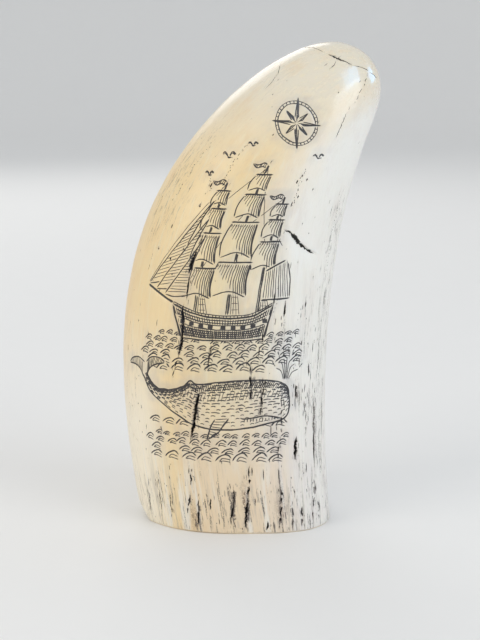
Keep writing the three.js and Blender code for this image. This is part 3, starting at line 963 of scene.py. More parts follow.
# ------------------------------------------------------------------------------- what age has done
class Weather:
    """Splits, dashes and pores, which run with the grain."""

    def __init__(self, face, cuts):
        self.face = face
        self.random = random.Random(cuts.seed + 1)
        self.lines = []

    def split(self, places, width, depth, closed):
        """A ragged split. Its lips wander, and part of its run may be closed up."""
        path = flowing(places, SPLIT_STEP)
        if len(path) < 5:
            path = evenly(places, 0.3)
        count = len(path)
        wander = 0.0
        shifted = []
        for place in path:
            wander = 0.72 * wander + self.random.uniform(-SPLIT_WANDER, SPLIT_WANDER)
            shifted.append(place + (wander, self.random.uniform(-0.1, 0.1)))
        path = np.array(shifted)
        at = np.linspace(0, 1, count)
        ends = np.minimum(1, np.minimum(at, 1 - at) / 0.22) ** 0.7
        start = 0
        while start < count - 2:
            stop = count
            if closed > 0 and self.random.random() < 0.85:
                stop = min(count, start + self.random.randint(4, 9))
            if stop - start >= 3:
                self._lips(path[start:stop], ends[start:stop], width, depth)
            gap = 1 if self.random.random() > closed else 2
            start = stop + gap - 1 if stop < count else count

    def _lips(self, path, fullness, width, depth):
        count = len(path)
        at = np.linspace(0, 1, count)
        ends = np.minimum(1, np.minimum(at, 1 - at) / 0.2)
        left = [0.5 * width * self.random.uniform(*SPLIT_LIPS) for _ in range(count)]
        right = [0.5 * width * self.random.uniform(*SPLIT_LIPS) for _ in range(count)]
        full = fullness * ends
        self.lines.append(Line(
            path, np.maximum(left * full, NARROWEST_LIP), np.maximum(right * full, NARROWEST_LIP),
            depth * full, np.minimum(full * 1.6, 1.0), "split"))

    def slivers(self, places, width):
        """Thin broken splits that keep beside a wide one."""
        path = flowing(places)
        length = np.hypot(*np.diff(path, axis=0).T).sum()
        for _ in range(int(length / SLIVER_SPACING)):
            across, up = path[self.random.randrange(len(path))]
            away = self.random.choice((-1, 1)) * (0.4 * width + self.random.uniform(0.25, 0.9))
            self.along_grain(across + away, up, self.random.uniform(1.0, 3.4),
                             self.random.uniform(0.2, 0.4), 0.15, tone=self.random.uniform(0.5, 1.0))

    def along_grain(self, across, up, length, width, depth, tone=1.0):
        """A short pore that follows the grain from a place."""
        side = 1 if across >= 0 else -1
        share = across / max(self.face.reach(up, side), 1e-6)
        ups = np.clip(np.linspace(up - length / 2, up + length / 2, 4 if length > 1.5 else 3),
                      self.face.bevel + 0.3, self.face.tip_up - 4)
        places = [(share * self.face.reach(height, side) + self.random.uniform(-0.08, 0.08), height)
                  for height in ups]
        count = len(places)
        full = np.sin(np.linspace(0, math.pi, count)) ** 0.6
        lips = [0.5 * width * self.random.uniform(*PORE_LIPS) for _ in range(2 * count)]
        self.lines.append(Line(
            np.array(places), np.maximum(lips[:count] * full, NARROWEST_LIP),
            np.maximum(lips[count:] * full, NARROWEST_LIP), depth * full,
            np.full(count, tone) * full, "split"))

    def pore_chance(self, across, up):
        """Pores crowd low on the leaning side and up the outer edge, and are few near the tip."""
        lean_side = smooth(2, 26, across) * smooth(120, 40, up)
        outer_edge = smooth(-16, -32, across) * smooth(150, 60, up) * 0.75
        foot = smooth(34, 6, up) * 0.7
        return FEWEST_PORES + 0.8 * max(lean_side, outer_edge, foot)

    def pores(self, count):
        """Random open pores, short ones oftenest."""
        shortest, longest = PORE_LENGTHS
        made = 0
        while made < count:
            up = self.random.uniform(1.5, self.face.tip_up - PORES_STOP)
            side = self.random.choice((-1, 1))
            across = side * self.random.random() * (self.face.reach(up, side) - 1.5)
            if self.random.random() > self.pore_chance(across, up):
                continue
            length = min(shortest + self.random.expovariate(0.9), longest)
            width = self.random.uniform(*PORE_WIDTHS)
            self.along_grain(across, up, length, width, 0.5 * width,
                             tone=self.random.uniform(0.35, 1.0))
            made += 1


# ------------------------------------------------------------------------------------ the skin mesh
class LineField:
    """Finds, for a place on the sheet, how deep and how dark the lines over it are."""

    CELL = 1.0

    def __init__(self, lines):
        self.cells = {}
        for line in lines:
            for i in range(len(line.points) - 1):
                (ax, ay), (bx, by) = line.points[i], line.points[i + 1]
                widest = max(line.left[i], line.right[i], line.left[i + 1], line.right[i + 1])
                if line.kind == "split":
                    widest += SMUDGE_REACH
                piece = (ax, ay, bx - ax, by - ay, line, i)
                for column in range(int((min(ax, bx) - widest) // self.CELL),
                                    int((max(ax, bx) + widest) // self.CELL) + 1):
                    for row in range(int((min(ay, by) - widest) // self.CELL),
                                     int((max(ay, by) + widest) // self.CELL) + 1):
                        self.cells.setdefault((column, row), []).append(piece)

    def at(self, x, y):
        """Depth in mm, then ink, grime and the smudge round a split, each 0 to 1."""
        depth = ink = grime = smudge = 0.0
        for ax, ay, dx, dy, line, i in self.cells.get((int(x // self.CELL), int(y // self.CELL)), ()):
            square = dx * dx + dy * dy
            share = ((x - ax) * dx + (y - ay) * dy) / square if square else 0.0
            share = min(max(share, 0.0), 1.0)
            off_x, off_y = x - ax - share * dx, y - ay - share * dy
            sides = line.left if dx * off_y - dy * off_x > 0 else line.right
            half = sides[i] + (sides[i + 1] - sides[i]) * share
            distance = math.hypot(off_x, off_y)
            fall = 1.0 - distance / half
            if line.kind == "band":
                smudge = max(smudge, fall * line.tone[i])
                continue
            if line.kind == "split" and distance < SMUDGE_REACH:
                near = (1.0 - distance / SMUDGE_REACH) * min(line.depth[i] / FULL_SMUDGE_DEPTH, 1.0)
                smudge = max(smudge, near)
            if fall <= 1e-4:
                continue
            depth = max(depth, fall * (line.depth[i] + (line.depth[i + 1] - line.depth[i]) * share))
            tone = fall * (line.tone[i] + (line.tone[i + 1] - line.tone[i]) * share)
            if line.kind == "ink":
                ink = max(ink, tone)
            else:
                grime = max(grime, tone)
        return depth, ink, grime, smudge

    def is_near(self, x, y, margin):
        """Whether a line's lips come within a margin of a place."""
        for column in (int((x - margin) // self.CELL), int((x + margin) // self.CELL)):
            for row in (int((y - margin) // self.CELL), int((y + margin) // self.CELL)):
                for ax, ay, dx, dy, line, i in self.cells.get((column, row), ()):
                    if line.kind == "band":
                        continue
                    square = dx * dx + dy * dy
                    share = ((x - ax) * dx + (y - ay) * dy) / square if square else 0.0
                    share = min(max(share, 0.0), 1.0)
                    distance = math.hypot(x - ax - share * dx, y - ay - share * dy)
                    if distance < max(line.left[i], line.right[i]) + margin:
                        return True
        return False


class SheetPattern:
    """The points and edges that the skin's triangles must keep."""

    def __init__(self, face):
        self.face = face
        self.points = []
        self.edges = []

    def chain(self, places, closed=False):
        first = len(self.points)
        self.points += [tuple(place) for place in places]
        last = len(self.points) - 1
        self.edges += [(i, i + 1) for i in range(first, last)]
        if closed:
            self.edges.append((last, first))

    def line(self, line):
        """A line's two lips and its bed, which meet at its ends."""
        points = line.points
        ahead = np.gradient(points, axis=0)
        ahead /= np.maximum(np.hypot(*ahead.T), 1e-9)[:, None]
        across = np.stack((-ahead[:, 1], ahead[:, 0]), axis=1)
        left = points + across * line.left[:, None]
        right = points - across * line.right[:, None]
        start = len(self.points)
        self.points += [tuple(place) for place in points]
        end = len(self.points) - 1
        self.edges += [(i, i + 1) for i in range(start, end)]
        for lip in (left, right):
            first = len(self.points)
            self.points += [tuple(place) for place in lip[1:-1]]
            last = len(self.points) - 1
            run = [start, *range(first, last + 1), end]
            self.edges += list(zip(run, run[1:]))

    def border(self, step):
        """The sheet's edge: along the foot, and up both sides of the cut down the back."""
        low, tip = self.face.bevel, self.face.tip_up
        rows = np.linspace(0, 1, int((tip - low) / step)) ** 0.92
        ups = low + (tip - low) * rows
        right = [(self.face.reach(up, 1), up) for up in ups[:-1]]
        left = [(-self.face.reach(up, -1), up) for up in ups[:-1]]
        start, stop = left[0][0], right[0][0]
        count = int((stop - start) / step)
        foot = [(start + (stop - start) * i / count, low) for i in range(1, count)]
        self.chain([left[0], *foot, *right, (0.0, tip), *left[:0:-1]], closed=True)

    def fill(self, field, front_step, back_step, random_order):
        """Plain points in staggered rows, clear of every line."""
        up = self.face.bevel + FIRST_ROW
        row = 0
        while up < self.face.tip_up - CLEAR_OF_EDGE:
            left, right = -self.face.reach(up, -1), self.face.reach(up, 1)
            across = left + CLEAR_OF_EDGE + 0.5 * front_step * (row % 2)
            while across < right - CLEAR_OF_EDGE:
                on_front = abs(across) < FRONT_HALF
                step = front_step if on_front else back_step
                x = across + random_order.uniform(-POINT_SHIFT, POINT_SHIFT) * step
                y = up + random_order.uniform(-POINT_SHIFT, POINT_SHIFT) * step
                if (on_front or row % 2 == 0) and not field.is_near(x, y, CLEAR_OF_LINES):
                    self.points.append((x, y))
                across += step
            up += front_step * ROW_SPACING
            row += 1


def away_from(path, points):
    """Distance of points from a path."""
    path = np.asarray(path, float)
    nearest = np.full(len(points), np.inf)
    for start, end in zip(path, path[1:]):
        run = end - start
        share = np.clip(((points - start) @ run) / max(run @ run, 1e-9), 0, 1)
        nearest = np.minimum(nearest, np.hypot(*(points - start - share[:, None] * run).T))
    return nearest


class Scar:
    """The flaked scar: a ledge, and a floor that rises from it to the face."""

    def __init__(self):
        self.ledge = np.array(SCAR_LEDGE)
        ends = (SCAR_LEDGE[0], *SCAR_RUNOUT, SCAR_LEDGE[-1])
        self.runout = flowing(ends, 1.2)
        self.outline = np.vstack((self.ledge, self.runout[::-1]))
        inward = np.array(SCAR_RUNOUT).mean(axis=0) - self.ledge.mean(axis=0)
        self.foot_of_ledge = self.ledge[1:-1] + SCAR_STEP * inward / np.hypot(*inward)

    def depth(self, points):
        """How deep the scar is at points, and how bare its floor is there, 0 to 1."""
        within = inside(self.outline, points)
        from_ledge = away_from(self.ledge, points)
        from_runout = away_from(self.runout, points)
        rise = from_runout / np.maximum(from_runout + from_ledge, 1e-6)
        ripple = SCAR_RIPPLE * np.sin(2.4 * from_ledge)
        step = smooth(0.0, SCAR_STEP, from_ledge)
        bare = np.where(within, smooth(0.0, 0.8, rise), 0.0)
        return np.where(within, (SCAR_DEPTH + ripple) * rise * step, 0.0), bare


def hollow_depth(face, share, angle):
    """How deep the shallow hollows down the foot are."""
    height = face.middle(share)[1]
    across = np.sin(angle) * face.half_width_full
    sunk = np.zeros_like(share)
    for place, depth, half, top in HOLLOWS:
        rise = np.maximum(1 - height / top, 0)
        sunk += depth * np.exp(-(((across - place) / half) ** 2)) * rise
    return np.where(np.cos(angle) > 0, sunk, 0.0)


def scraped(across, up):
    """Faint flats left by hand scraping, always below the plain face."""
    wave = sum(np.sin(across * turn + up * climb + start) for turn, climb, start in SCRAPE_WAVES)
    return SCRAPED_DEPTH * (1 + wave / len(SCRAPE_WAVES))


def chip_away(face, points):
    """Brings what stands beyond a chip's broken face back to it."""
    chipped = np.zeros(len(points))
    for angle, depth, slope in CHIPS:
        corner = face.point(0.0, angle)
        out = np.array((corner[0], corner[1], 0.0))
        facing = out / np.linalg.norm(out) * math.sin(slope)
        facing[2] = -math.cos(slope)
        beyond = points @ facing - (corner @ facing - depth)
        points = points - np.maximum(beyond, 0)[:, None] * facing
        chipped = np.maximum(chipped, beyond > 0)
    return points, chipped


def sheet_to_map(across, up, face):
    """Where a place goes on the bake's map, which gives the front more room than the back."""
    reach = np.abs(across)
    front = np.minimum(reach, MAP_FRONT_HALF) * MAP_FRONT_ROOM
    back = np.maximum(reach - MAP_FRONT_HALF, 0) * MAP_BACK_ROOM
    return 0.5 + np.sign(across) * (front + back), MAP_LOWEST + MAP_HEIGHT * up / face.tip_up


def foot_to_map(x, y):
    """Where a place on the sawn foot goes on the bake's map."""
    return FOOT_MAP_PLACE[0] + FOOT_MAP_SCALE * x, FOOT_MAP_PLACE[1] + FOOT_MAP_SCALE * y


def engraved_lines(cuts, scar):
    """Every engraved line. The scar flaked off later and took what was cut there with it."""
    graver = Graver(cuts)
    graver.hide_behind(scar.outline)
    engrave_sea(graver, *NEAR_SEA)
    engrave_whale(graver)
    engrave_sea(graver, *WHALE_SEA)
    engrave_ship(graver)
    engrave_sea(graver, *SHIP_SEA)
    engrave_star(graver)
    engrave_gulls(graver)
    return graver.lines


def weathered_lines(face, cuts):
    """Every split, crack, dash, pit and pore."""
    weather = Weather(face, cuts)
    for width, depth, closed, places in (*WIDE_SPLITS, *TIP_CRACKS):
        weather.split(places, width, depth, closed)
    for width, _, _, places in WIDE_SPLITS:
        weather.slivers(places, width)
    # A dark groove along the scar's ledge, widest in its middle stretch.
    for first, last, width in ((0, 3, 0.55), (1, 5, 1.5), (3, 6, 0.9)):
        weather.split([(x - 0.1, y - 0.45) for x, y in SCAR_LEDGE[first:last]], width, 0.3, 0.0)
    weather.split(((12.1, 96.0), (11.8, 94.4), (11.2, 92.6)), 0.35, 0.2, 0.2)
    for across, up, length, width in DASHES:
        weather.along_grain(across, up, length, width, 0.5 * width)
    for places, count in PIT_ROWS:
        row = flowing(places, 0.2)
        for number in range(count):
            across, up = row[int(number * (len(row) - 1) / max(count - 1, 1))]
            weather.along_grain(across + weather.random.uniform(-0.5, 0.5),
                                up + weather.random.uniform(-0.3, 0.3),
                                weather.random.uniform(0.4, 1.1), weather.random.uniform(0.25, 0.5),
                                0.15, tone=weather.random.uniform(0.5, 1.0))
    weather.pores(cuts.flecks)
    return weather.lines


def dirt_bands():
    """The soft bands of dirt, which have no cut of their own."""
    bands = []
    for half, strength, places in BANDS:
        path = flowing(places, 1.5)
        ends = np.sin(np.linspace(0.15, math.pi - 0.15, len(path))) ** 0.5
        bands.append(Line(path, half * ends, half * ends, 0 * ends, strength * ends, "band"))
    return bands


# ------------------------------------------------------------------------------------ shader maths
class Value:
    """A node's output. Arithmetic on it adds Math nodes."""

    def __init__(self, shader, socket):
        self.shader = shader
        self.socket = socket

    def _math(self, operation, *operands):
        return self.shader.node("ShaderNodeMath", {"operation": operation}, dict(enumerate(operands)))

    def __add__(self, other):
        return self._math("ADD", self, other)

    def __radd__(self, other):
        return self._math("ADD", other, self)

    def __sub__(self, other):
        return self._math("SUBTRACT", self, other)

    def __rsub__(self, other):
        return self._math("SUBTRACT", other, self)

    def __mul__(self, other):
        return self._math("MULTIPLY", self, other)

    def __rmul__(self, other):
        return self._math("MULTIPLY", other, self)

    def __truediv__(self, other):
        return self._math("DIVIDE", self, other)

    def __pow__(self, other):
        return self._math("POWER", self, other)

    def at_most(self, other):
        return self._math("MINIMUM", self, other)

    def at_least(self, other):
        return self._math("MAXIMUM", self, other)

    def eased(self, low, high):
        """0 at low, 1 at high, smooth between, whichever of the two is larger."""
        return self.shader.node(
            "ShaderNodeMapRange", {"interpolation_type": "SMOOTHSTEP"},
            {"Value": self, "From Min": low, "From Max": high, "To Min": 0.0, "To Max": 1.0})


class Shader:
    """A material's node tree and its one surface shader."""

    def __init__(self, name, **constants):
        self.material = bpy.data.materials.new(name)
        self.material.use_nodes = True
        self.tree = self.material.node_tree
        self.surface = self.tree.nodes["Principled BSDF"]
        for socket, value in constants.items():
            self.surface.inputs[socket.replace("_", " ")].default_value = value

    def node(self, kind, settings=None, inputs=None, output=0):
        """Adds a node, sets it up, feeds its sockets and returns one of its outputs."""
        made = self.tree.nodes.new(kind)
        for setting, value in (settings or {}).items():
            setattr(made, setting, value)
        for socket, value in (inputs or {}).items():
            if isinstance(value, Value):
                self.tree.links.new(value.socket, made.inputs[socket])
            else:
                made.inputs[socket].default_value = value
        return Value(self, made.outputs[output])

    def attribute(self, name, output="Fac"):
        return self.node("ShaderNodeAttribute", {"attribute_name": name}, output=output)

    def noise(self, place, scale, detail=3.0, roughness=0.55):
        return self.node("ShaderNodeTexNoise", {"noise_dimensions": "3D"}, {
            "Vector": place, "Scale": scale, "Detail": detail, "Roughness": roughness})

    def stretched(self, place, stretch):
        return self.node("ShaderNodeVectorMath", {"operation": "MULTIPLY"}, {0: place, 1: stretch})

    def blend(self, factor, first, second):
        """Mixes two colours."""
        return self.node("ShaderNodeMix", {"data_type": "RGBA"}, {0: factor, 6: first, 7: second}, output=2)

    def layered(self, colour, *layers):
        """Lays other colours over a colour in turn, each with the share that it covers."""
        for share, over in layers:
            colour = self.blend(share, colour, over)
        return colour

    def feed(self, socket, value):
        self.tree.links.new(value.socket, self.surface.inputs[socket])


def opaque(colour):
    return (*colour[:3], 1.0)


def separated(shader, vector):
    """The three parts of a vector."""
    first = shader.node("ShaderNodeSeparateXYZ", None, {0: vector})
    return [Value(shader, output) for output in first.socket.node.outputs]


def ivory_parts(shader):
    """Marks and patterns that the ivory's colour, sheen and relief are worked out from, by name."""
    # The straightened tooth: round section in X and Y, height in Z, in centimetres.
    grain = shader.attribute("grain", "Vector")
    across, behind, up = separated(shader, grain)
    marks = {name: shader.attribute(name) for name in MARKS}
    patterns = {}
    for name, (squeeze, scale, detail, roughness) in PATTERNS.items():
        place = shader.stretched(grain, (1.0, 1.0, squeeze))
        patterns[name] = shader.noise(place, scale, detail, roughness)
    ivory = SimpleNamespace(across=across, behind=behind, up=up, **marks, **patterns)
    ivory.gaps = ivory.crumble + (ivory.dashes - 0.5) * 0.8
    return ivory


def ground_colour(shader, ivory, finish):
    """Warm to cool across, partly patina and partly painted warm and cool light; paler at the tip, rosy low
    in the middle, pale cream low on the outer side as painted light, and browner at the outer edge as
    painted shade.
    """
    across, up, drift = ivory.across, ivory.up, ivory.drift
    # The warm to cool split across is partly patina and partly painted light, warm on the -X side and cool
    # on the +X side.
    cool_line = across + (ivory.clouds - 0.5) * 1.3 + (drift - 0.5) * 0.8 - up.eased(11.0, 15.5) * 0.6
    coolness = cool_line.eased(-0.5, 1.8)
    warmth = 1 - coolness
    deep = shader.blend(coolness, TINTS["deep warm"], TINTS["deep cool"])
    pale = shader.blend(coolness, TINTS["pale warm"], TINTS["pale cool"])
    low = up.eased(6.0, 1.5)
    # Whiter low on the +X side: partly bleaching and partly painted cool light.
    bleached = across.eased(-0.2, 1.0) * up.eased(12.8, 10.5)
    middle = across.eased(-1.7, 0.1) * warmth * up.eased(12.5, 9.0)
    rosy = low * across.eased(-2.0, -0.6) * across.eased(2.2, 0.9)
    lilac = low * across.eased(0.6, 1.6) * ivory.stripes.eased(0.40, 0.62)
    # Painted light: pale cream low on the outer side, lifting the shade there.
    cream_painted_light = across.eased(-1.5, -2.6) * up.eased(7.5, 3.0)
    # Painted shade: darker, browner ivory towards the sides, mostly on the warm side.
    edge = (across * across).eased(7.5, 11.8) * up.eased(2.0, 6.0)
    colour = shader.blend(coolness, opaque(finish.warm_ivory), opaque(finish.cool_ivory))
    return shader.layered(
        colour,
        (up.eased(11.0, 14.6) * 0.85 * warmth, TINTS["tip"]),
        (bleached * 0.45, TINTS["bleached"]),
        (middle * 0.75, TINTS["middle"]),
        (drift.eased(0.48, 0.74) * 0.4, deep),
        (ivory.streaks.eased(0.5, 0.7) * 0.5, pale),
        (rosy * 0.6, TINTS["rosy"]),
        (lilac * 0.5, TINTS["lilac"]),
        (cream_painted_light * 0.85, TINTS["cream_painted_light"]),
        (edge * 0.4 * warmth, TINTS["outer edge"]))


def broken_fibres(ivory, low_foot, dryness):
    """Dark fibres where the ivory has dried out, broken along their run."""
    drift, dashes = ivory.drift, ivory.dashes
    fibre = dashes + (ivory.streaks - 0.5) * 0.4 + dryness * 0.13 + (drift - 0.5) * 0.3
    strand = ivory.strands + dryness * 0.15 + (drift - 0.5) * 0.2
    fibre, strand = fibre.eased(0.68, 0.76), strand.eased(0.665, 0.73)
    broken = (fibre * (1 - low_foot * 0.7)).at_least(strand) * ivory.gaps.eased(0.36, 0.54)
    return broken * dryness.eased(0.02, 0.7) * (0.45 + 0.55 * ivory.across.eased(-2.0, -0.7))


def dried_colour(shader, ivory, colour):
    """The dried foot and sides: chalky stripes with grey ones between, fibres, dust and flecks."""
    across, up, stripes = ivory.across, ivory.up, ivory.stripes
    near_side = 0.2 + 0.8 * ivory.behind.eased(0.3, -1.6)
    low_foot = up.eased(3.4, 0.5) * 0.68
    lean_side = across.eased(0.9, 2.2) * up.eased(9.5, 5.0) * near_side * ivory.drift.eased(0.38, 0.6)
    lean_edge = across.eased(2.0, 2.9) * up.eased(13.0, 9.5) * near_side
    outer_edge = across.eased(-1.2, -2.6) * up.eased(14.2, 12.4) * up.eased(7.6, 10.4) * near_side
    outer_low = across.eased(-2.2, -3.2) * up.eased(9.0, 5.0)
    dryness = low_foot.at_least(lean_side * 0.6).at_least(lean_edge * 0.6)
    dryness = dryness.at_least(outer_edge * 0.7).at_least(outer_low * 0.5).at_least(0.1)
    chalky = (up.eased(3.6, 0.6) * 0.9).at_least(across.eased(0.9, 2.6) * up.eased(9.5, 5.0) * 0.6)
    grey_stripes = chalky * stripes.eased(0.46, 0.34) * ivory.streaks.eased(0.40, 0.56)
    broken = broken_fibres(ivory, low_foot, dryness)
    dusty = ivory.hairs.eased(0.54, 0.7) * (dryness * 0.55 + 0.06)
    flecked = (ivory.speckle + (ivory.crumble - 0.5) * 0.5).eased(0.60, 0.72)
    flecked = flecked * outer_edge * ivory.drift.eased(0.4, 0.6)
    colour = shader.layered(
        colour,
        (chalky * stripes.eased(0.52, 0.64) * 0.75, TINTS["chalk"]),
        (grey_stripes * 0.5, TINTS["grey stripe"]),
        (broken * 0.85, TINTS["fibre"]),
        (dusty * 0.75, TINTS["dust"]),
        (flecked * 0.5, TINTS["fleck"]),
        (ivory.speckle.eased(0.68, 0.8) * 0.2, TINTS["speck"]))
    return colour, broken


def marked_colour(shader, ivory, colour, finish):
    """Bare breaks, stains, greyed ivory, the sawn foot, smudges, dirt and ink, in that order."""
    speckle, crumble = ivory.speckle, ivory.crumble
    object_place = shader.node("ShaderNodeTexCoord", output="Object")
    rings = shader.node("ShaderNodeTexWave", {"wave_type": "RINGS", "rings_direction": "Z"}, {
        "Vector": object_place, "Scale": 110.0, "Distortion": 1.2, "Detail": 2.0, "Detail Scale": 1.0})
    sawn = shader.blend(rings * 0.5, TINTS["sawn pale"], TINTS["sawn dark"])
    spread = (ivory.smudge * 0.6 + (ivory.strands - 0.5) * 1.2 + (ivory.gaps - 0.5) * 0.6).eased(0.36, 0.6)
    dirt = (ivory.grime + (speckle - 0.5) * 0.5 + (crumble - 0.5) * 0.4).eased(0.14, 0.34)
    inked = (ivory.ink + (speckle - 0.5) * 0.4 + (crumble - 0.5) * 0.2).eased(0.12, 0.46)
    haze = ivory.smudge.eased(0.0, 0.9) * ivory.streaks.eased(0.4, 0.62)
    colour = shader.layered(
        colour,
        (ivory.fresh * 0.55, TINTS["fresh"]),
        (ivory.stain * crumble.eased(0.3, 0.6) * 0.6, TINTS["stain"]),
        (ivory.wash * 0.22 * ivory.drift.eased(0.3, 0.6), TINTS["wash"]),
        (ivory.foot * 0.85, sawn),
        (haze * 0.22, TINTS["smudge"]),
        (spread * ivory.smudge.eased(0.0, 0.3) * 0.82, TINTS["smear"]),
        (dirt * 0.97, opaque(finish.grime)),
        (inked * 0.95, opaque(finish.ink)))
    return colour, dirt, inked


def ivory_material(finish):
    """Aged ivory, warm on one side and bleached on the other, partly patina and partly painted warm and cool
    light, with inked lines and dirty splits.
    """
    shader = Shader("ivory_scrimshaw", Subsurface_Weight=0.05, Subsurface_Scale=1.0,
                    Subsurface_Radius=(0.0020, 0.0012, 0.0007), IOR=1.54, Coat_Roughness=0.07)
    ivory = ivory_parts(shader)
    colour = ground_colour(shader, ivory, finish)
    colour, broken = dried_colour(shader, ivory, colour)
    colour, dirt, inked = marked_colour(shader, ivory, colour, finish)
    shader.feed("Base Color", colour)
    polish = ivory.up.eased(12.2, 14.8)
    sheen = 0.40 + (ivory.drift - 0.5) * 0.25 + (ivory.streaks - 0.5) * 0.12 - polish * 0.14
    rough = sheen + dirt * 0.4 + inked * 0.25 + ivory.foot * 0.3 + ivory.fresh * 0.15 + broken * 0.3
    shader.feed("Roughness", rough.at_most(0.9).at_least(0.14))
    shader.feed("Coat Weight", (0.08 + polish * 0.5) * (1 - dirt) * (1 - ivory.foot))
    relief = ivory.streaks * 0.5 + ivory.hairs * 0.4 + ivory.speckle * 0.2 - broken * 1.2
    shader.feed("Normal", shader.node("ShaderNodeBump", None, {
        "Height": relief * (1 - polish * 0.7), "Strength": 0.4, "Distance": 0.00012}))
    return shader.material


def stage_material(finish):
    """Plain matt paper, faintly uneven."""
    shader = Shader("stage_paper", Roughness=0.9)
    place = shader.node("ShaderNodeTexCoord", output="Object")
    fibre = shader.noise(place, 60.0, 4.0)
    colour = [opaque([part * shade for part in finish.stage_colour]) for shade in (0.985, 1.0)]
    shader.feed("Base Color", shader.blend(fibre, *colour))
    return shader.material


# --------------------------------------------------------------------------------------- operators
class TOOTH_OT_skin(bpy.types.Operator):
    """Models the tooth's skin with its cut lines, splits and scar, over the solid tooth"""

    bl_idname = "tooth.skin"
    bl_label = "Engraved Tooth"

    def execute(self, context):
        form, cuts = context.scene.tooth_form, context.scene.tooth_cuts
        face, scar = ToothFace(form), Scar()
        lines = engraved_lines(cuts, scar) + weathered_lines(face, cuts)
        field = LineField(lines + dirt_bands())
        pattern = SheetPattern(face)
        pattern.border(BORDER_STEP)
        for line in lines:
            pattern.line(line)
        for path in (scar.ledge, scar.foot_of_ledge, scar.runout):
            pattern.chain(path)
        pattern.fill(field, form.front_step / MM, form.back_step / MM, random.Random(cuts.seed))
        cut_sheet = delaunay_2d_cdt(
            [Vector(point) for point in pattern.points], pattern.edges, [], 1, 1e-4, False)
        tooth = self.mesh_of(cut_sheet, face, field, scar)
        self.finish_mesh(tooth)
        tooth.data.materials.append(ivory_material(context.scene.tooth_finish))
        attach(tooth, "root")
        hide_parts(TOOTH_NODE)
        return {"FINISHED"}

    def mesh_of(self, cut_sheet, face, field, scar):
        """Wraps the cut sheet round the tooth, closes it with the foot, and marks every point."""
        sheet = np.array([tuple(vert) for vert in cut_sheet[0]])
        across, up = sheet.T
        share, angle = face.locate(across, up)
        marks = np.array([field.at(x, y) for x, y in sheet])
        scar_depth, bare = scar.depth(sheet)
        sunk = marks[:, 0] + scar_depth + hollow_depth(face, share, angle) + scraped(across, up)
        skin_points = face.point(share, angle) - face.normal(share, angle) * sunk[:, None]
        rim = np.flatnonzero(up < face.bevel + 1e-3)
        rim = rim[np.argsort(across[rim])]
        foot_points, foot_faces = self.foot_of(face, rim, angle[rim], len(skin_points))
        points, chipped = chip_away(face, np.vstack((skin_points, foot_points)))
        # The skin's fine facets may reach a hair further than the solid's coarser ones.
        lowest, highest = (np.array(corner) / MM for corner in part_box(TOOTH_NODE))
        points = np.clip(points, lowest, highest)

        mesh = bpy.data.meshes.new("engraved_tooth")
        faces = [tuple(found) for found in cut_sheet[2]] + foot_faces
        mesh.from_pydata((points * MM).tolist(), [], faces)
        wide = np.concatenate((np.sin(angle) * face.half_width(share), foot_points[:, 0]))
        deep = np.concatenate((-np.cos(angle) * face.half_width(share), foot_points[:, 1]))
        high = np.concatenate((up, foot_points[:, 2]))
        on_foot = np.concatenate((np.zeros(len(sheet)), np.ones(len(foot_points))))
        self.write_marks(mesh, sheet, marks, bare, chipped, on_foot)
        grain = mesh.attributes.new("grain", "FLOAT_VECTOR", "POINT")
        grain.data.foreach_set("vector", (np.stack((wide, deep, high), axis=1) * 0.1).ravel())
        self.write_map(mesh, sheet, face, foot_points)
        tooth = bpy.data.objects.new("engraved_tooth", mesh)
        bpy.context.scene.collection.objects.link(tooth)
        return tooth

    def foot_of(self, face, rim, rim_angles, first):
        """The bevel and the sawn foot: rings from the sheet's lower edge in to a middle point."""
        ring = face.point(np.zeros(len(rim)), rim_angles, face.bevel)
        points = [ring * (size, size, 0.0) for size in FOOT_RINGS]
        rings = [rim]
        for _ in FOOT_RINGS:
            rings.append(np.arange(first, first + len(rim)))
            first += len(rim)
        faces = []
        for outer, inner in zip(rings, rings[1:]):
            faces += [(outer[i], inner[i], inner[i + 1], outer[i + 1]) for i in range(len(rim) - 1)]
        faces += [(inner[i], first, inner[i + 1]) for i in range(len(rim) - 1)]
        return np.vstack((*points, (0.0, 0.0, 0.0))), faces

    def write_marks(self, mesh, sheet, marks, bare, chipped, on_foot):
        """Writes what the material reads at each point. The sawn foot has no mark but its own."""
        unmarked = np.zeros(len(on_foot) - len(sheet))

        def write(name, values):
            attribute = mesh.attributes.new(name, "FLOAT", "POINT")
            attribute.data.foreach_set("value", np.asarray(values, float))

        stains = np.zeros(len(sheet))
        for across, up, half_across, half_up in STAINS:
            away = ((sheet[:, 0] - across) / half_across) ** 2 + ((sheet[:, 1] - up) / half_up) ** 2
            stains = np.maximum(stains, np.exp(-away))
        crowded = self.crowding(sheet, marks[:, 1])
        for name, values in (("ink", marks[:, 1]), ("grime", marks[:, 2]), ("smudge", marks[:, 3]),
                             ("stain", stains), ("wash", crowded)):
            write(name, np.concatenate((values, unmarked)))
        fresh = np.concatenate((bare, unmarked))
        write("fresh", np.maximum(fresh, chipped * (1 - on_foot) * 0.8))
        write("foot", on_foot)

    def crowding(self, sheet, ink):
        """How closely ink lies around each place, 0 to 1."""
        columns, rows = (np.floor(sheet / WASH_CELL).astype(int) + WASH_ORIGIN).T
        total = np.zeros(WASH_CELLS)
        np.add.at(total, (columns, rows), ink > 0.6)
        spread = sum(np.roll(total, (i, j), axis=(0, 1)) for i in (-1, 0, 1) for j in (-1, 0, 1)) / 9
        return np.clip(spread[columns, rows] / 6.0, 0, 1)

    def write_map(self, mesh, sheet, face, foot_points):
        """The map that the bake paints on: the sheet in the middle and the foot in a corner."""
        x, y = sheet_to_map(sheet[:, 0], sheet[:, 1], face)
        foot_x, foot_y = foot_to_map(foot_points[:, 0], foot_points[:, 1])
        spots = np.stack((np.concatenate((x, foot_x)), np.concatenate((y, foot_y))), axis=1)
        corners = np.empty(len(mesh.loops), int)
        mesh.loops.foreach_get("vertex_index", corners)
        spots = spots[corners]
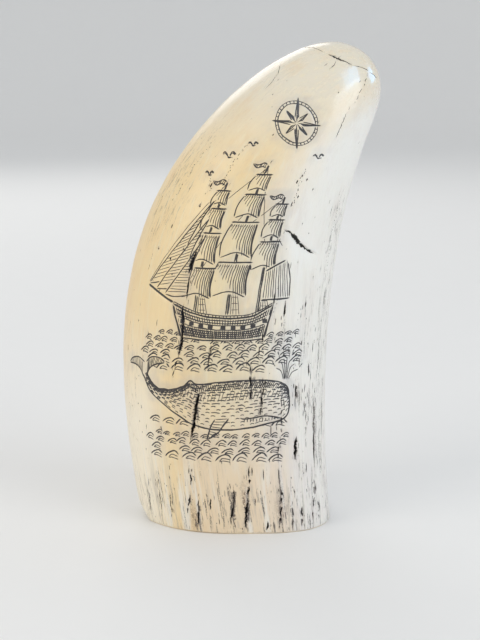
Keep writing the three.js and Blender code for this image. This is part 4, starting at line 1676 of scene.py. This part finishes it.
        # A bevel face's upper corners lie on the sheet, so on the foot's map they are moved out to it.
        for polygon in mesh.polygons:
            on_sheet = [loop for loop in polygon.loop_indices if corners[loop] < len(sheet)]
            if 0 < len(on_sheet) < polygon.loop_total:
                for loop in on_sheet:
                    place = mesh.vertices[int(corners[loop])].co / MM * RIM_ON_FOOT_MAP
                    spots[loop] = foot_to_map(place.x, place.y)
        layer = mesh.uv_layers.new(name="OFBake")
        layer.data.foreach_set("uv", spots.astype(np.float32).ravel())

    def finish_mesh(self, tooth):
        """Closes the seam down the back and rounds the shading."""
        bpy.ops.object.select_all(action="DESELECT")
        tooth.select_set(True)
        bpy.context.view_layer.objects.active = tooth
        bpy.ops.object.mode_set(mode="EDIT")
        bpy.ops.mesh.select_all(action="SELECT")
        bpy.ops.mesh.remove_doubles(threshold=0.002 * MM)
        bpy.ops.mesh.normals_make_consistent(inside=False)
        bpy.ops.object.mode_set(mode="OBJECT")
        bpy.ops.object.shade_smooth_by_angle(angle=math.radians(SHADING_ANGLE))


class TOOTH_OT_stage(bpy.types.Operator):
    """Sets the floor, the lights and the camera"""

    bl_idname = "tooth.stage"
    bl_label = "Stage"

    def execute(self, context):
        self.floor(context.scene.tooth_finish)
        self.lights()
        self.camera(context.scene)
        return {"FINISHED"}

    def floor(self, finish):
        """A round floor that curves up into a low wall, so that it is plain from every side."""
        bpy.ops.object.select_all(action="DESELECT")
        bpy.ops.mesh.primitive_cylinder_add(
            vertices=96, radius=STAGE_RADIUS, depth=STAGE_WALL, end_fill_type="NGON",
            location=(0, 0, STAGE_WALL / 2))
        floor = bpy.context.object
        floor.name = "stage_floor"
        bpy.ops.object.transform_apply(location=True, rotation=True, scale=True)
        self.pick(floor, lambda ends: all(end.z > STAGE_WALL / 2 for end in ends), "FACE")
        bpy.ops.mesh.delete(type="FACE")
        bpy.ops.object.mode_set(mode="OBJECT")
        self.pick(floor, lambda ends: all(end.z < STAGE_WALL / 2 for end in ends), "EDGE")
        bpy.ops.mesh.bevel(offset=STAGE_CURVE, segments=14)
        bpy.ops.mesh.select_all(action="SELECT")
        bpy.ops.mesh.normals_make_consistent(inside=True)
        bpy.ops.object.mode_set(mode="OBJECT")
        bpy.ops.object.shade_smooth()
        floor.data.materials.append(stage_material(finish))

    def pick(self, item, wanted, kind):
        """Goes into edit mode with the wanted faces or edges selected."""
        bpy.ops.object.mode_set(mode="EDIT")
        bpy.ops.mesh.select_mode(type=kind)
        bpy.ops.mesh.select_all(action="DESELECT")
        bpy.ops.object.mode_set(mode="OBJECT")
        mesh = item.data
        for part in mesh.polygons if kind == "FACE" else mesh.edges:
            part.select = wanted([mesh.vertices[corner].co for corner in part.vertices])
        bpy.ops.object.mode_set(mode="EDIT")

    def lights(self):
        world = bpy.context.scene.world or bpy.data.worlds.new("studio")
        bpy.context.scene.world = world
        world.use_nodes = True
        background = world.node_tree.nodes["Background"]
        background.inputs["Color"].default_value = SKY_COLOUR
        background.inputs["Strength"].default_value = SKY_STRENGTH
        for name, place, size, power, colour, gloss_only in LAMPS:
            data = bpy.data.lights.new(name, "AREA")
            data.size = size
            data.energy = power
            data.color = colour
            lamp = bpy.data.objects.new(name, data)
            lamp.location = place
            aim = Vector(LAMP_TARGET) - Vector(place)
            lamp.rotation_euler = aim.to_track_quat("-Z", "Y").to_euler()
            lamp.visible_camera = False
            lamp.visible_diffuse = not gloss_only
            bpy.context.scene.collection.objects.link(lamp)

    def camera(self, scene):
        data = bpy.data.cameras.new("front_camera")
        data.lens = CAMERA_LENS
        data.sensor_width = CAMERA_SENSOR
        data.clip_start = 0.01
        camera = bpy.data.objects.new("front_camera", data)
        camera.location = CAMERA_PLACE
        camera.rotation_euler = (math.radians(CAMERA_PITCH), 0.0, 0.0)
        scene.collection.objects.link(camera)
        scene.camera = camera
        scene.view_settings.view_transform = "Standard"
        scene.view_settings.look = "None"


class TOOTH_PT_panel(bpy.types.Panel):
    """Shows the tooth's settings, with buttons that build the tooth and the stage"""

    bl_idname = "TOOTH_PT_panel"
    bl_label = "Scrimshaw Tooth"
    bl_space_type = "VIEW_3D"
    bl_region_type = "UI"
    bl_category = "Tooth"

    def draw(self, context):
        layout = self.layout
        for group in (context.scene.tooth_form, context.scene.tooth_cuts, context.scene.tooth_finish):
            box = layout.box()
            for name in group.bl_rna.properties.keys():
                if name not in {"rna_type", "name"}:
                    box.prop(group, name)
        for operator in (TOOTH_OT_skin, TOOTH_OT_stage):
            layout.operator(operator.bl_idname)


CLASSES = (ToothForm, ToothCuts, ToothFinish, TOOTH_OT_skin, TOOTH_OT_stage, TOOTH_PT_panel)


def register():
    for each in CLASSES:
        bpy.utils.register_class(each)
    bpy.types.Scene.tooth_form = bpy.props.PointerProperty(type=ToothForm)
    bpy.types.Scene.tooth_cuts = bpy.props.PointerProperty(type=ToothCuts)
    bpy.types.Scene.tooth_finish = bpy.props.PointerProperty(type=ToothFinish)


def unregister():
    del bpy.types.Scene.tooth_form
    del bpy.types.Scene.tooth_cuts
    del bpy.types.Scene.tooth_finish
    for each in reversed(CLASSES):
        bpy.utils.unregister_class(each)


def main():
    register()
    bpy.ops.tooth.skin()
    bpy.ops.tooth.stage()


if __name__ == "__main__":
    main()
